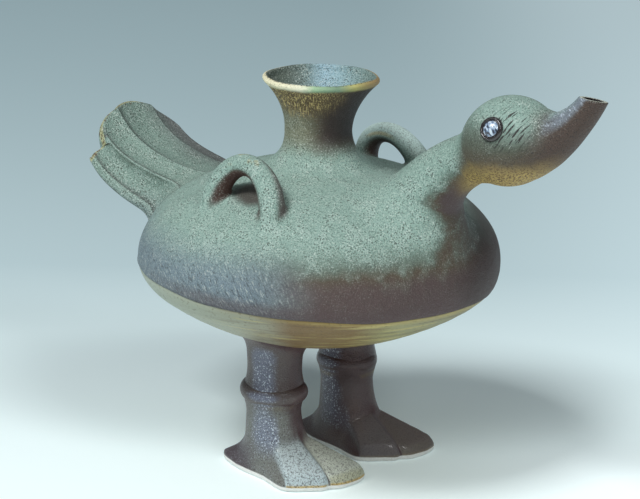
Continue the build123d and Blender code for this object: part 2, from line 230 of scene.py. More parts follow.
def lute(rings, gap, reach, spread, rest=30, steps=10):
    """Rings of a tube that starts inside a carrier, with its end bent out into a skirt on it.

    The skirt takes up the first reach millimetres of the tube and goes spread millimetres out on the carrier.
    """
    roots, outer = [], []
    for line in np.swapaxes(rings, 0, 1):
        depth = gap(line)
        last = np.nonzero(depth < 0)[0][-1]
        roots.append(crossing(line, depth, last))
        outer.append(even_points(np.vstack([roots[-1], line[last + 1 :]]), rest, reach))
    roots, outer = np.array(roots), np.array(outer)
    normal = outward(gap, roots)
    away = roots - roots.mean(0)
    away -= normal * (away * normal).sum(1, keepdims=True)
    edge = roots + spread * away / np.linalg.norm(away, axis=1, keepdims=True)
    for _ in range(SETTLING_STEPS):
        edge = edge - outward(gap, edge) * gap(edge)[:, None]
    normal = outward(gap, edge)
    corner = roots - normal * ((roots - edge) * normal).sum(1, keepdims=True)
    skirt = [edge - SKIRT_SUNK * normal]
    for t in np.linspace(0, 1, steps):
        bend = (1 - t) ** 2 * edge + 2 * t * (1 - t) * corner + t * t * outer[:, 0]
        skirt.append(bend - SKIRT_DIP * (1 - t) ** 3 * normal)
    return np.concatenate([np.array(skirt), np.swapaxes(outer, 0, 1)[1:]])


print("skirts start", SKIRT_SUNK, "mm under the surface")

# %% [markdown]
# ## Shader maths
# A glaze is a sum of many small effects, so its shader is written as maths on sockets.
# `Wire` wraps one socket: the usual operators make Math nodes and `node` makes any other node.
# The nodes could be placed by hand in the shader editor, but a long chain is easier to read as a formula.

# %% Sockets that can be reckoned with
class Wire:
    """A shader socket that can be reckoned with."""

    def __init__(self, tree, socket=None):
        self.tree, self.socket = tree, socket

    def node(self, kind, inputs=None, out=0, stops=(), **settings):
        """Makes a node, gives it settings, ramp stops, then values and links, and returns one output."""
        made = self.tree.nodes.new("ShaderNode" + kind)
        for key, value in settings.items():
            setattr(made, key, value)
        if stops:
            ends = made.color_ramp.elements
            ends[0].color, ends[1].color = stops[0][1], stops[-1][1]
            for place, shade in stops[1:-1]:
                ends.new(place).color = shade
        for key, value in (inputs or {}).items():
            if isinstance(value, Wire):
                self.tree.links.new(value.socket, made.inputs[key])
            else:
                made.inputs[key].default_value = value
        return Wire(self.tree, made.outputs[out])

    def maths(self, operation, first, second):
        """A Math node on two values."""
        return self.node("Math", {0: first, 1: second}, operation=operation)

    def __add__(self, other):
        return self.maths("ADD", self, other)

    def __sub__(self, other):
        return self.maths("SUBTRACT", self, other)

    def __rsub__(self, other):
        return self.maths("SUBTRACT", other, self)

    def __mul__(self, other):
        return self.maths("MULTIPLY", self, other)

    def __truediv__(self, other):
        return self.maths("DIVIDE", self, other)

    def __rtruediv__(self, other):
        return self.maths("DIVIDE", other, self)

    __radd__, __rmul__ = __add__, __mul__

    def step(self, start, end):
        """0 at start, 1 at end and smooth between them."""
        return self.node("MapRange", {0: self, 1: start, 2: end}, interpolation_type="SMOOTHSTEP")

    def dot(self, direction):
        """How far this vector goes in a direction."""
        return self.node("VectorMath", {0: self, 1: direction}, out=1, operation="DOT_PRODUCT")

    def scaled(self, factors):
        """This vector with each of its three values times a factor."""
        return self.node("VectorMath", {0: self, 1: factors}, operation="MULTIPLY")

    def stretch(self, factors, turn=(0, 0, 0)):
        """Positions turned by so many degrees, then scaled."""
        angles = [math.radians(a) for a in turn]
        return self.node("VectorRotate", {0: self, 4: angles}, rotation_type="EULER_XYZ").scaled(factors)

    def noise(self, size, detail=3.0, rough=0.55):
        """Cloudy noise with features about so many millimetres wide."""
        inputs = {"Vector": self, "Scale": 1 / size, "Detail": detail, "Roughness": rough}
        return self.node("TexNoise", inputs)

    def mark(self, name):
        """A value that the mesh holds at its points."""
        return self.node("Attribute", out="Fac", attribute_name=name)

    def ramp(self, *stops):
        """Colours at places along this value; the first place is 0 and the last one is 1."""
        return self.node("ValToRGB", {0: self}, stops=stops)

    def tint(self, colour, share):
        """This colour, with a share of another one laid over it."""
        return self.node("Mix", {0: share, 6: self, 7: colour}, out=2, data_type="RGBA")


print("sockets ready")

# %% Materials
def paint(red, green, blue):
    """A colour as it is read off a screen, 0 to 255, as Blender's linear light."""
    return tuple(((c / 255 + 0.055) / 1.055) ** 2.4 for c in (red, green, blue)) + (1.0,)


def start_material(name):
    """A material, positions in millimetres from the turning axis and the direction that a face looks in."""
    material = bpy.data.materials.new(name)
    material.use_nodes = True
    wire = Wire(material.node_tree)
    metres = wire.node("TexCoord", out="Object")
    to_millimetres = {0: metres, 1: (1000, 1000, 1000), 2: (-AXIS, 0, 0)}
    spot = wire.node("VectorMath", to_millimetres, operation="MULTIPLY_ADD")
    return material, spot, wire.node("NewGeometry", out="Normal")


COAT_ROUGHNESS = 0.12


def finish_material(material, colour, rough, height, depth, coat=0.0):
    """Links colour, roughness and a bump of so many millimetres to the Principled node."""
    tree = material.node_tree
    shader = tree.nodes["Principled BSDF"]
    tree.links.new(colour.socket, shader.inputs["Base Color"])
    tree.links.new(rough.socket, shader.inputs["Roughness"])
    bump = height.node("Bump", {"Height": height, "Strength": 1.0, "Distance": depth / 1000})
    tree.links.new(bump.socket, shader.inputs["Normal"])
    shader.inputs["Coat Weight"].default_value = coat
    shader.inputs["Coat Roughness"].default_value = COAT_ROUGHNESS
    return material


print("coats have a roughness of", COAT_ROUGHNESS)

# %% [markdown]
# ## Ash glaze
# Wood ash that flies through the kiln melts where it lands. Faces turned up and toward the fire are sage
# green and full of fine grains, and the lee of the pot stays brown and purple and smoother. Some patches are
# painted shade: the breast is darkened, and so is the dome under the near loop. Pale specks and strokes are
# partly painted glints.
# One function lays this glaze on every upper piece. It reads only positions and directions in space, so
# the pattern runs over the joins without a break; a piece adds its own patches through `zones`.
# An image could be painted instead, but it would need a map that fits every piece and joins at the seams.

# %% Ash glaze
FORWARD, LEFTWARD, UPWARD = (1, 0, 0), (0, 1, 0), (0, 0, 1)
ASH_FROM = (-0.3, -0.257, 0.919)
VIEW_RIGHT = (0.759, 0.651, 0)
BORDER, BORDER_LEAN = 92.0, -4.0
BAND_TOP, BAND_FOOT = 123, 103
CLOUD_SIZE, PATCH_SIZE, GRAIN_SIZE = 26, 7, 0.62
LOOP_X, LOOP_SHADOW_Y, LOOP_SHADOW_LONG, LOOP_SHADOW_WIDE = 2.5, -45, 14, 10
SAGE, SAGE_PALE, SAGE_DEEP = paint(153, 184, 173), paint(174, 200, 190), paint(112, 132, 120)
BROWN, PURPLE, OLIVE = paint(88, 77, 62), paint(88, 71, 71), paint(54, 58, 48)
BLUE, GOLD, RUST = paint(122, 140, 154), paint(190, 168, 98), paint(92, 62, 44)
CREAM, INK = paint(232, 240, 232), paint(40, 36, 36)
UMBER, LOOP_SHADOW_MAROON = paint(60, 46, 44), paint(72, 50, 44)


def ash_glaze(name, zones=None):
    """Ash glaze; zones(colour, spot, facing, cloud) gives a piece's own patches and how calm they are."""
    material, spot, facing = start_material(name)
    height, toward_right = spot.dot(UPWARD), spot.dot(VIEW_RIGHT) / RADIUS
    cloud, patch = spot.noise(CLOUD_SIZE, 4), spot.noise(PATCH_SIZE, 4)
    grain = spot.noise(GRAIN_SIZE, 2, 0.6)
    uneven = (cloud - 0.5) * 0.8 + (patch - 0.5) * 0.5
    band = (height + uneven * 8).step(BAND_TOP, BAND_FOOT)
    ash = (facing.dot(ASH_FROM) + uneven).step(-0.55, 0.25) * (1 - band * toward_right.step(-0.6, 0.0) * 0.95)
    colour = ash.ramp((0, PURPLE), (0.25, BROWN), (0.6, SAGE_DEEP), (1, SAGE))
    colour = colour.tint(SAGE_PALE, patch.step(0.48, 0.7) * ash * 0.55)
    flank = band * toward_right.step(0.05, -0.4)
    colour = colour.tint(BLUE, flank * 0.85)
    # The flank's diagonal strokes are also bump; their pale cream tint is a painted glint on the fine ridges.
    scratch = spot.stretch((1.4, 1.4, 0.3), (0, 35, 41)).noise(1, 2)
    colour = colour.tint(CREAM, scratch.step(0.58, 0.68) * flank * 0.4)
    colour = colour.tint(INK, scratch.step(0.44, 0.34) * flank * 0.55)
    edge = (height - toward_right * BORDER_LEAN).step(99, 94)
    colour = colour.tint(PURPLE, edge * toward_right.step(-1.1, -0.5) * 0.6)
    # Painted shade: umber darkens the breast, on the right of the body below the shoulder.
    painted_breast_shade = (toward_right + (cloud - 0.5) * 0.15).step(0.64, 0.86) * height.step(146, 128)
    colour = colour.tint(UMBER, painted_breast_shade * 0.85)
    # Painted shadow: shelter is a maroon patch on the dome under the near loop, where the arch shades it.
    ahead = (spot.dot(FORWARD) - LOOP_X) / LOOP_SHADOW_LONG
    out = (spot.dot(LEFTWARD) - LOOP_SHADOW_Y) / LOOP_SHADOW_WIDE
    shelter = (ahead * ahead + out * out + (cloud - 0.5)).step(1.1, 0.3) * height.step(143, 139)
    colour = colour.tint(LOOP_SHADOW_MAROON, shelter * 0.85)
    calm = painted_breast_shade + flank * 0.6 + shelter * 0.8
    if zones:
        colour, calm = zones(colour, spot, facing, cloud)
    speckle = (0.12 + ash * 0.88) * (1 - calm) * (0.55 + patch.step(0.35, 0.6) * 0.45)
    colour = colour.tint(OLIVE, grain.step(0.53, 0.63) * speckle * 0.85)
    # Pale specks: partly pale grains in the glaze, partly painted glints.
    colour = colour.tint(CREAM, grain.step(0.44, 0.34) * speckle * 0.6)
    relief = grain * 0.6 + patch * 1.4 + scratch * flank
    return finish_material(material, colour, 0.45 + grain * 0.2, relief, 1.1)


dome_glaze = ash_glaze("dome_glaze")
print("ash falls from", ASH_FROM)

# %% [markdown]
# ## Dome and bowl
# The body was thrown as two halves. The dome's glaze stops just under the widest place in a soft,
# slightly wavy roll, and the bowl below it is bare clay that was brushed with a thin golden wash.
# Each half is a hollow shell, spun from its outside profile and back along its inside. A Screw modifier
# with Solidify could make it too, but the border leans, so the rings are bent before they become a mesh.

# %% Dome
def side_point(height, offset=0.0):
    """Radius and height on the side below the equator."""
    reach = side_radius + offset
    return side_centre + math.sqrt(reach**2 - (height - EQUATOR) ** 2), height


def dome_curve(offset, end_radius, steps):
    """Profile of the dome from the equator to a radius near the top."""
    wide, tall = RADIUS + offset, RISE + offset
    a = np.linspace(0, math.acos(end_radius / wide), steps)
    return np.stack([wide * np.cos(a), EQUATOR + tall * np.sin(a)], 1)


def lean_border(rings):
    """Moves the points near the border along the side, so that the border leans and waves a little."""
    x, y, z = np.moveaxis(rings, -1, 0)
    radius = np.maximum(np.hypot(x, y), 1e-9)
    reach = np.hypot(radius - side_centre, z - EQUATOR)
    near = np.minimum((EQUATOR - z) / (EQUATOR - BORDER), (z - TURN_HEIGHT) / (BORDER - TURN_HEIGHT))
    turn = np.arctan2(y, x)
    wave = 0.5 * np.sin(3 * turn + 1) + 0.3 * np.sin(7 * turn + 2) + 0.2 * np.sin(13 * turn)
    shift = np.clip(near, 0, 1) * (wave + BORDER_LEAN * (rings @ VIEW_RIGHT) / RADIUS)
    side = side_centre + np.sqrt(np.maximum(reach**2 - (z + shift - EQUATOR) ** 2, 0))
    side = np.where(shift == 0, radius, side)
    return np.stack([x / radius * side, y / radius * side, z + shift], -1)


BODY_TURNS, THROAT_RADIUS = 240, 11.5
roll_profile = [(-1.0, -1.2), (-0.8, -0.2), (-0.5, 0.2), (0.1, 0.4), (1.0, 0.4), (2.5, 0.25), (4.5, 0.1)]
outside = [side_point(BORDER + rise, offset) for rise, offset in roll_profile]
inside = [side_point(height, -WALL) for height in np.linspace(BORDER + 4.5, BORDER - 1, 5)]
dome = [dome_curve(0, THROAT_RADIUS, 60), dome_curve(-WALL, THROAT_RADIUS, 40)[::-1]]
rings = lean_border(spin(np.vstack([outside, *dome, inside]), BODY_TURNS))
piece("glazed_dome", mesh_of("glazed_dome", rings, joined=True), dome_glaze, "shoulder_dome")

# %% Bowl clay
BARE_CLAY = (
    (0, paint(168, 178, 160)), (0.22, paint(158, 160, 138)), (0.4, paint(124, 97, 54)),
    (0.62, paint(126, 99, 50)), (0.8, paint(164, 160, 112)), (1, paint(160, 158, 128)),
)
STRAW, BARK, GRIT = paint(206, 192, 122), paint(98, 76, 48), paint(88, 76, 56)
underside, spot, facing = start_material("underside_clay")
height, toward_right = spot.dot(UPWARD), spot.dot(VIEW_RIGHT) / RADIUS
cloud, grain = spot.noise(22, 4), spot.noise(1.4, 2, 0.65)
streak = spot.stretch((0.03, 0.03, 0.55)).noise(1, 3)
colour = (toward_right + (cloud - 0.5) * 0.35).step(-1.0, 1.0).ramp(*BARE_CLAY)
washed = toward_right.step(-0.75, -0.2)
colour = colour.tint(STRAW, streak.step(0.54, 0.68) * washed * 0.6)
colour = colour.tint(BARK, streak.step(0.45, 0.32) * washed * 0.55)
under_border = (height - toward_right * BORDER_LEAN).step(BORDER - 3.4, BORDER - 1.6)
colour = colour.tint(GOLD, under_border * toward_right.step(-0.6, 0.1) * 0.45)
colour = colour.tint(GRIT, grain.step(0.57, 0.68) * 0.4)
finish_material(underside, colour, 0.4 + grain * 0.2, streak * 0.5 + grain * 0.4, 0.5, 0.1)
print("bare clay with", len(BARE_CLAY), "tones round it")

# %% Bowl
LINE_DEPTH, LINE_RATE, LINES_FROM = 0.08, 1.15, 20


def under_curve(offset, steps):
    """Profile of the underside from the middle to where it turns up."""
    reach = under_radius + offset
    a = np.linspace(0, math.asin(TURN_RADIUS / under_radius), steps)
    return np.stack([reach * np.sin(a), under_centre - reach * np.cos(a)], 1)


outside = np.vstack([under_curve(0, 60), [side_point(h) for h in np.linspace(85.5, 91.0, 8)]])
lines = np.sin(outside[:, 0] * LINE_RATE + 1) * np.clip(outside[:, 0] / LINES_FROM, 0, 1)
outside[:, 1] += LINE_DEPTH * lines
joint = [side_point(BORDER, -0.9), side_point(BORDER, -WALL)]
inside = np.vstack([[side_point(h, -WALL) for h in np.linspace(91, 88.2, 4)], under_curve(-WALL, 40)[::-1]])
rings = lean_border(spin(np.vstack([outside, joint, inside]), BODY_TURNS))
piece("clay_bowl", mesh_of("clay_bowl", rings), underside, "belly_bowl")

# %% [markdown]
# ## Filling neck
# A thrown collar with a waist and a flared mouth, pressed on to the dome while soft. A brush left ochre
# lines under the rim. The lip is pale where the glaze pooled, with a painted highlight on its left, and the
# side that faces right is almost black, partly from the brown glaze and partly as painted shade.
# A Screw modifier could turn the profile too; rings from `spin` can be bent afterwards, so that the rim
# dips and the neck leans a little, as a hand-thrown one does.

# %% Filling neck glaze
NEAR = (0.651, -0.759, 0)
NECK_OLIVE, BRUSH_BROWN, BRUSH_GOLD = paint(142, 136, 106), paint(112, 90, 54), paint(240, 216, 148)
BRUSH_TURNS = ((16, 22, 0), (-20, -14, 0))
MOUTH_WALL = (
    (0, paint(96, 108, 96)), (0.3, paint(132, 156, 154)), (0.55, paint(164, 200, 214)),
    (0.75, paint(150, 184, 190)), (1, paint(124, 150, 142)),
)
LIP_POOL_AND_HIGHLIGHT = (
    (0, paint(255, 250, 212)), (0.25, paint(255, 255, 226)), (0.42, paint(170, 206, 166)),
    (0.72, paint(138, 168, 140)), (0.88, paint(206, 202, 128)), (1, paint(176, 150, 104)),
)


def neck_zones(colour, spot, facing, cloud):
    """Dark right side (glaze and painted shade), ochre brush lines, a pale lip with a painted highlight, a
    grey-blue inside.
    """
    height, across = spot.dot(UPWARD), spot.dot(VIEW_RIGHT)
    inner = facing.dot(spot.scaled((1, 1, 0))).step(2, -4)
    toward_right = facing.dot(VIEW_RIGHT) + (cloud - 0.5) * 0.5
    up = (height + (cloud - 0.5) * 10).step(145, 156)
    # Faces turned right get umber and then nearly black: partly the glaze's brown, partly painted shade.
    dark_glaze_and_shade = up * toward_right.step(-0.5, 0.35)
    colour = colour.tint(NECK_OLIVE, up * 0.75).tint(UMBER, dark_glaze_and_shade * 0.97)
    colour = colour.tint(INK, up * toward_right.step(0.2, 0.9) * 0.8)
    brushed = (height + (cloud - 0.5) * 8).step(163, 172)
    brushed = brushed * (facing.dot(VIEW_RIGHT) + (cloud - 0.5)).step(0.55, -0.3)
    colour = colour.tint(BRUSH_BROWN, brushed * 0.85)
    for turn in BRUSH_TURNS:
        stroke = spot.stretch((1.9, 1.9, 0.14), turn).noise(1, 1)
        colour = colour.tint(BRUSH_GOLD, brushed * stroke.step(0.56, 0.64) * 0.9)
        colour = colour.tint(RUST, brushed * stroke.step(0.4, 0.32) * 0.6)
    wall = (across + (cloud - 0.5) * 24).step(-26, 26).ramp(*MOUTH_WALL)
    colour = colour.tint(wall, inner * height.step(146, 160))
    lip = (height + (cloud - 0.5) * 3).step(176.6, 178.2) * (1 - inner)
    # The lip runs from a painted highlight on its left to pooled glaze and ochre on its right.
    colour = colour.tint(across.step(-27, 25).ramp(*LIP_POOL_AND_HIGHLIGHT), lip)
    tick = spot.noise(1.1, 1).step(0.5, 0.6) * facing.dot(UPWARD).step(0.85, 0.97)
    tick = tick * lip * spot.dot(NEAR).step(-6, 6)
    return colour.tint(INK, tick * 0.9), dark_glaze_and_shade * (1 - inner) * 0.8 + lip * 0.6


neck_glaze = ash_glaze("neck_glaze", neck_zones)
print("neck brushed in", len(BRUSH_TURNS), "directions")

# %% Filling neck
NECK_TURNS, NECK_ROOT = 160, 138.0
WAIST_RADIUS, WAIST_HEIGHT = 15.1, 156
FLARE_HEIGHT, FLARE_TALL, RIM_TILT = 150, 30, (0.018, -0.021)
LEAN_HEIGHTS, LEANS = (139, 156, 180), (-1.0, -1.9, -1.1)
outer = np.vstack([
    bezier((31, 138.7), (22, 141.3), (WAIST_RADIUS, 145.5), (WAIST_RADIUS, WAIST_HEIGHT), 24),
    bezier((WAIST_RADIUS, WAIST_HEIGHT), (WAIST_RADIUS, 164.5), (19.6, 173), (25.6, 178.3), 24)[1:],
])
lip = [(26.0, 179.0), (25.95, 179.8), (25.4, 180.5), (24.5, 180.75), (23.7, 180.3), (23.2, 179.2)]
inner = np.vstack([
    bezier((23.0, 178.3), (19, 174.5), (THROAT_RADIUS, 168.5), (THROAT_RADIUS, 160), 20),
    [(THROAT_RADIUS, NECK_ROOT)],
])
rings = spin(np.vstack([[(30.5, 137.6)], outer, lip, inner]), NECK_TURNS)
turn = np.arctan2(rings[..., 1], rings[..., 0])
flare = np.clip((rings[..., 2] - FLARE_HEIGHT) / FLARE_TALL, 0, 1)
rings[..., 2] += flare * (0.2 * np.sin(3 * turn + 2) + 0.15 * np.sin(5 * turn + 1))
rings[..., 2] -= flare * (rings[..., :2] @ RIM_TILT)
rings[..., :2] *= (1 + flare * (0.006 * np.sin(2 * turn + 0.6) + 0.004 * np.sin(5 * turn)))[..., None]
rings += np.interp(rings[..., 2], LEAN_HEIGHTS, LEANS)[..., None] * np.array(VIEW_RIGHT)
piece("flared_mouth", mesh_of("flared_mouth", rings, joined=True), neck_glaze, "filling_neck")

# %% [markdown]
# ## Bird's neck, head and beak
# The pouring side is a bent tube, a hollow egg and a tapered spout. Each was luted to the next with a
# wide fillet, and one glaze with the same zones runs over all three: sage above, brown on the cheek,
# golden under the chin, and purple-brown with bluish glints on the beak. A curve with a bevel could make
# the tube, but its section changes from round to oval, so ovals are listed along it.

# %% Glaze of the pouring side
HEAD_SIDE = HEAD + 12 * HEAD_AXIS + 5.5 * HEAD_UP - np.array((0, 16, 0))
CHEEK_OLIVE, CHEEK_BROWN = paint(76, 80, 64), paint(94, 82, 66)
CHIN_GOLD, BEAK_BROWN = paint(198, 172, 106), paint(80, 63, 55)
BEAK_SHEEN_BLUE, BEAK_GLINT, LIP_CREAM = paint(140, 154, 168), paint(206, 220, 236), paint(216, 222, 204)


def bird_zones(colour, spot, facing, cloud):
    """Cheek, chin, beak, lip and the scratches beside the eye."""
    along = spot.dot(FORWARD)
    under = facing.dot((-0.1, 0.1, -1)) + (cloud - 0.5) * 0.7
    on_head = along.step(80, 92)
    shelter = on_head * under.step(-0.75, -0.1)
    colour = colour.tint(CHEEK_OLIVE, shelter * 0.85)
    colour = colour.tint(CHEEK_BROWN, on_head * under.step(-0.25, 0.25) * 0.85)
    on_beak = (along + (cloud - 0.5) * 10).step(112, 128)
    side = on_beak * facing.dot((0.75, -0.1, -0.6)).step(-0.85, -0.4)
    colour = colour.tint(BEAK_BROWN, side * 0.95)
    chin = facing.dot((-0.05, -0.15, -1)) + (cloud - 0.5) * 0.4
    gold = along.step(76, 90) * along.step(134, 116) * chin.step(0.4, 0.85)
    colour = colour.tint(CHIN_GOLD, gold)
    grain = spot.noise(0.8, 2)
    colour = colour.tint(RUST, gold * grain.step(0.47, 0.58) * 0.8)
    colour = colour.tint(INK, shelter * (1 - gold) * grain.step(0.56, 0.66) * 0.6)
    streak = spot.stretch((0.9, 0.9, 0.16), (0, 55, 0)).noise(1, 2)
    # Painted highlight: a bluish sheen with glints on the beak's upper side, which faces the light.
    shine = (along + (cloud - 0.5) * 6).step(119, 131) * facing.dot((-0.62, -0.45, 0.64)).step(0.35, 0.8)
    colour = colour.tint(BEAK_SHEEN_BLUE, shine * 0.7)
    colour = colour.tint(BEAK_GLINT, shine * streak.step(0.55, 0.68) * 0.8)
    away = spot.node("VectorMath", {0: spot, 1: tuple(HEAD_SIDE)}, out=1, operation="DISTANCE")
    scratch = spot.stretch((1.15, 0, 0.2), (0, -30, 0)).noise(1, 1)
    cheek = (away + (cloud - 0.5) * 8).step(12, 7)
    colour = colour.tint(INK, cheek * scratch.step(0.54, 0.6) * 0.95)
    colour = colour.tint(CREAM, cheek * scratch.step(0.36, 0.3) * 0.3)
    colour = colour.tint(LIP_CREAM, spot.mark("lip").step(0.4, 0.8) * 0.85)
    # Painted shade: the bore inside the spout is tinted nearly black.
    colour = colour.tint(INK, spot.mark("bore").step(0.3, 0.7))
    return colour, (shelter * 0.6 + side * 0.2 + shine * 0.3 + cheek * 0.5 + gold).step(0, 1)


bird_glaze = ash_glaze("bird_glaze", bird_zones)
print("scratches at", HEAD_SIDE.round(1))

# %% Bird's neck
def tube(stations, around=96, steps=12):
    """Rings through oval stations: X, Z, lean in degrees, half height and half width."""
    x, z, lean, tall, wide = smooth_rows(stations, steps).T[:, :, None]
    turn = np.linspace(0, 2 * np.pi, around, endpoint=False)
    lean = np.radians(lean)
    up = tall * np.sin(turn)
    return np.stack([x - up * np.sin(lean), wide * np.cos(turn), z + up * np.cos(lean)], -1)


throat = tube([
    (46, 112, 62, 27, 29), (57.5, 131, 54, 18.5, 19), (67.5, 145.5, 44, 13.6, 13.6),
    (80, 155, 30, 11.5, 11.5), (96, 162, 22, 11.5, 11.5),
])
HALFWAY = 34
lower = lute(throat[: HALFWAY + 1], body_gap, reach=13, spread=15, steps=16)
upper = lute(throat[HALFWAY:][::-1], head_gap, reach=5, spread=6)
rings = np.concatenate([lower, upper[::-1][1:]])
piece("bird_throat", mesh_of("bird_throat", rings), bird_glaze, "bird_neck")

# %% Head
a = np.linspace(0, np.pi, 61)[:, None]
turn = np.linspace(0, 2 * np.pi, 120, endpoint=False)
along, across = -HEAD_SIZES[0] * np.cos(a) + 0 * turn, HEAD_SIZES[1] * np.sin(a)
egg = HEAD + along[..., None] * HEAD_AXIS + (across * np.sin(turn))[..., None] * HEAD_UP
egg[..., 1] += across * np.cos(turn)
piece("bird_head", mesh_of("bird_head", egg), bird_glaze, "head")

# %% Beak
LIP_PLACE, LIP_WALL, BEAK_POINTS = np.array((141.5, 0, 190.0)), 2.2, 60
lean, tilt = math.radians(84.4), math.radians(8.5)
LIP_NORMAL = np.array((math.cos(tilt) * math.cos(lean), math.sin(tilt), math.cos(tilt) * math.sin(lean)))


def cut_line(line, over, last, count):
    """A line up to where it meets a cut, after the point with number last, as so many even points."""
    return even_points(np.vstack([line[: last + 1], crossing(line, over, last)]), count)


def cut_at_lip(rings):
    """Rings of a tube whose lines all end at the slanting cut of the lip."""
    lines = []
    for line in np.swapaxes(rings, 0, 1):
        over = (line - LIP_PLACE) @ LIP_NORMAL
        lines.append(cut_line(line, over, np.nonzero(over < 0)[0][-1], BEAK_POINTS))
    return np.swapaxes(np.array(lines), 0, 1)


BEAK = np.array([
    (104, 164, 16, 14, 14.5), (116, 168.5, 24, 12.8, 13.2), (126.5, 174, 38, 9.4, 10),
    (135, 181.5, 54, 6.8, 7.6), (141.5, 190, 72, 5.7, 6.4), (142.7, 194, 76, 5.8, 6.5),
])
spout = cut_at_lip(tube(BEAK))
bore = cut_at_lip(tube(BEAK[1:] - (0, 0, 0, LIP_WALL, LIP_WALL)))[::-1]
lip = [spout[-1] * out + bore[0] * (1 - out) + rise * LIP_NORMAL for out, rise in ((0.75, 0.15), (0.4, 0.15))]
skirted = lute(spout, head_gap, reach=6, spread=7, rest=40, steps=12)
rings = np.concatenate([skirted, lip, bore])
part = np.repeat([0, 1, 2], [len(skirted), len(lip), len(bore)])[:, None] * np.ones(rings.shape[1], int)
mesh = mesh_of("pouring_beak", rings, lip=part == 1, bore=part == 2)
piece("pouring_beak", mesh, bird_glaze, "beak_spout")

# %% [markdown]
# ## Eyes
# Each eye is a pellet pressed into a socket, with a dark ring round it and a glassy, bluish drop of glaze
# on it. A flattened sphere would come close, but the groove between drop and ring needs an outline, which
# is spun and set square to the side of the head.

# %% Eye glaze
EYE_RIM = paint(46, 42, 42)
EYE_GLASS = (
    (0, INK), (0.42, paint(64, 70, 82)), (0.5, paint(140, 164, 194)), (0.6, paint(214, 230, 242)), (1, CREAM),
)
eye_glaze, spot, facing = start_material("eye_glaze")
cloud = spot.stretch((0.9, 0.9, 0.35), (0, 40, 0)).noise(1.2, 2)
colour = cloud.ramp(*EYE_GLASS).tint(EYE_RIM, spot.mark("ring").step(0.4, 0.6))
finish_material(eye_glaze, colour, cloud * 0.2 + 0.05, cloud, 0.3, 0.6)
print("eye glaze with", len(EYE_GLASS), "tones")

# %% Eyes
SIDES = {"right": -1, "left": 1}
EYE_AHEAD, EYE_UP, EYE_RING, EYE_TURNS = 5, 6.5, 3.4, 48
section = smooth_rows([
    (0, 1.6), (1.4, 1.5), (2.5, 1.15), (3.2, 0.7), (3.5, 0.35), (3.75, 0.35), (4.1, 0.8), (4.6, 0.85),
    (5.0, 0.3), (5.2, -0.5), (4.7, -1.3), (0, -1.3),
], 3)
rings = spin(section, EYE_TURNS)
ring = np.broadcast_to(section[:, :1] > EYE_RING, rings.shape[:2])
out = math.sqrt(1 - (EYE_AHEAD / HEAD_SIZES[0]) ** 2 - (EYE_UP / HEAD_SIZES[1]) ** 2) * HEAD_SIZES[1]
for name, side in SIDES.items():
    centre = HEAD + EYE_AHEAD * HEAD_AXIS + EYE_UP * HEAD_UP + np.array((0, side * out, 0))
    normal = outward(head_gap, centre[None])[0]
    across = np.cross(HEAD_UP, normal)
    across /= np.linalg.norm(across)
    basis = np.stack([across, np.cross(normal, across), normal])
    full = name + "_eye_pellet"
    piece(full, mesh_of(full, rings @ basis + centre, ring=ring), eye_glaze, name + "_eye")

# %% [markdown]
# ## Tail
# The tail is a slab pressed into flutes between sharp ridges and trimmed to a lobe at each flute.
# Its top and underside are worked out line by line from root to rim, so that each line can be cut
# where it meets the scalloped trim. The rim is rounded over and wiped, which leaves a thin golden line.
# A plane could be sculpted and cut with a Boolean, but the cut would leave a hard, ragged edge.

# %% Tail sections
TAIL_RIDGES = np.array((-1.0, -0.65, -0.34, 0.4, 0.83, 1.0))
FLUTE_DEPTHS = np.array((0.13, 0.14, 0.14, 0.15, 0.24))
FLUTES, ACROSS = len(FLUTE_DEPTHS), 14
TAIL_LEFT_FALL, TAIL_EDGE = 0.6, 4.0
stations = smooth_rows([
    (-56, 127, 0, 24, 22, 20), (-76, 130.5, 0, 27, 19.5, 16), (-88, 133.5, 3, 28.5, 18, 11),
    (-97, 137, 6, 29.5, 17, 8.5), (-105, 142, 9, 30.5, 16, 7.5), (-112, 149, 12, 31, 14, 6.5),
    (-119, 159.5, 14, 32, 12, 6), (-124, 170, 15, 32.5, 11, 6),
], 12)
swing = math.radians(3)
BACK = np.array((math.cos(swing), math.sin(swing), 0))
LEFT = np.array((-math.sin(swing), math.cos(swing), 0))
UP = np.array((0, 0, 1.0))
flute = np.arange(ACROSS) / ACROSS
share = np.concatenate([a + (b - a) * flute for a, b in zip(TAIL_RIDGES, TAIL_RIDGES[1:])] + [[1.0]])
dip = np.append(np.tile(4 * flute * (1 - flute), FLUTES), 0.0)


def tail_lines(station):
    """Top and underside at a station: X, Z, lean in degrees, half width, fall of the sides, thickness."""
    x, z, lean, wide, fall, thick = station
    falls = np.where(TAIL_RIDGES > 0, fall, fall * TAIL_LEFT_FALL)
    ridge = np.stack([TAIL_RIDGES * wide, -falls * (1 - np.cbrt(1 - np.abs(TAIL_RIDGES) ** 3))], 1)
    chord = np.diff(ridge, axis=0)
    which = np.minimum(np.arange(len(share)) // ACROSS, FLUTES - 1)
    along = np.append(np.tile(flute, FLUTES), 1.0)[:, None]
    down = np.stack([chord[which, 1], -chord[which, 0]], 1)
    top = ridge[which] + chord[which] * along + down * (FLUTE_DEPTHS[which] * dip)[:, None]
    edge = np.where(share > 0, fall, fall * TAIL_LEFT_FALL) + TAIL_EDGE
    under = np.stack([share * wide, -thick - (edge - thick) * share**2], 1)
    rise = math.sin(math.radians(lean)) * BACK + math.cos(math.radians(lean)) * UP
    return [x * BACK + z * UP - line[:, :1] * LEFT + line[:, 1:] * rise for line in (top, under)]


slab = np.array([tail_lines(station) for station in stations])
print("tail lines", slab.shape)

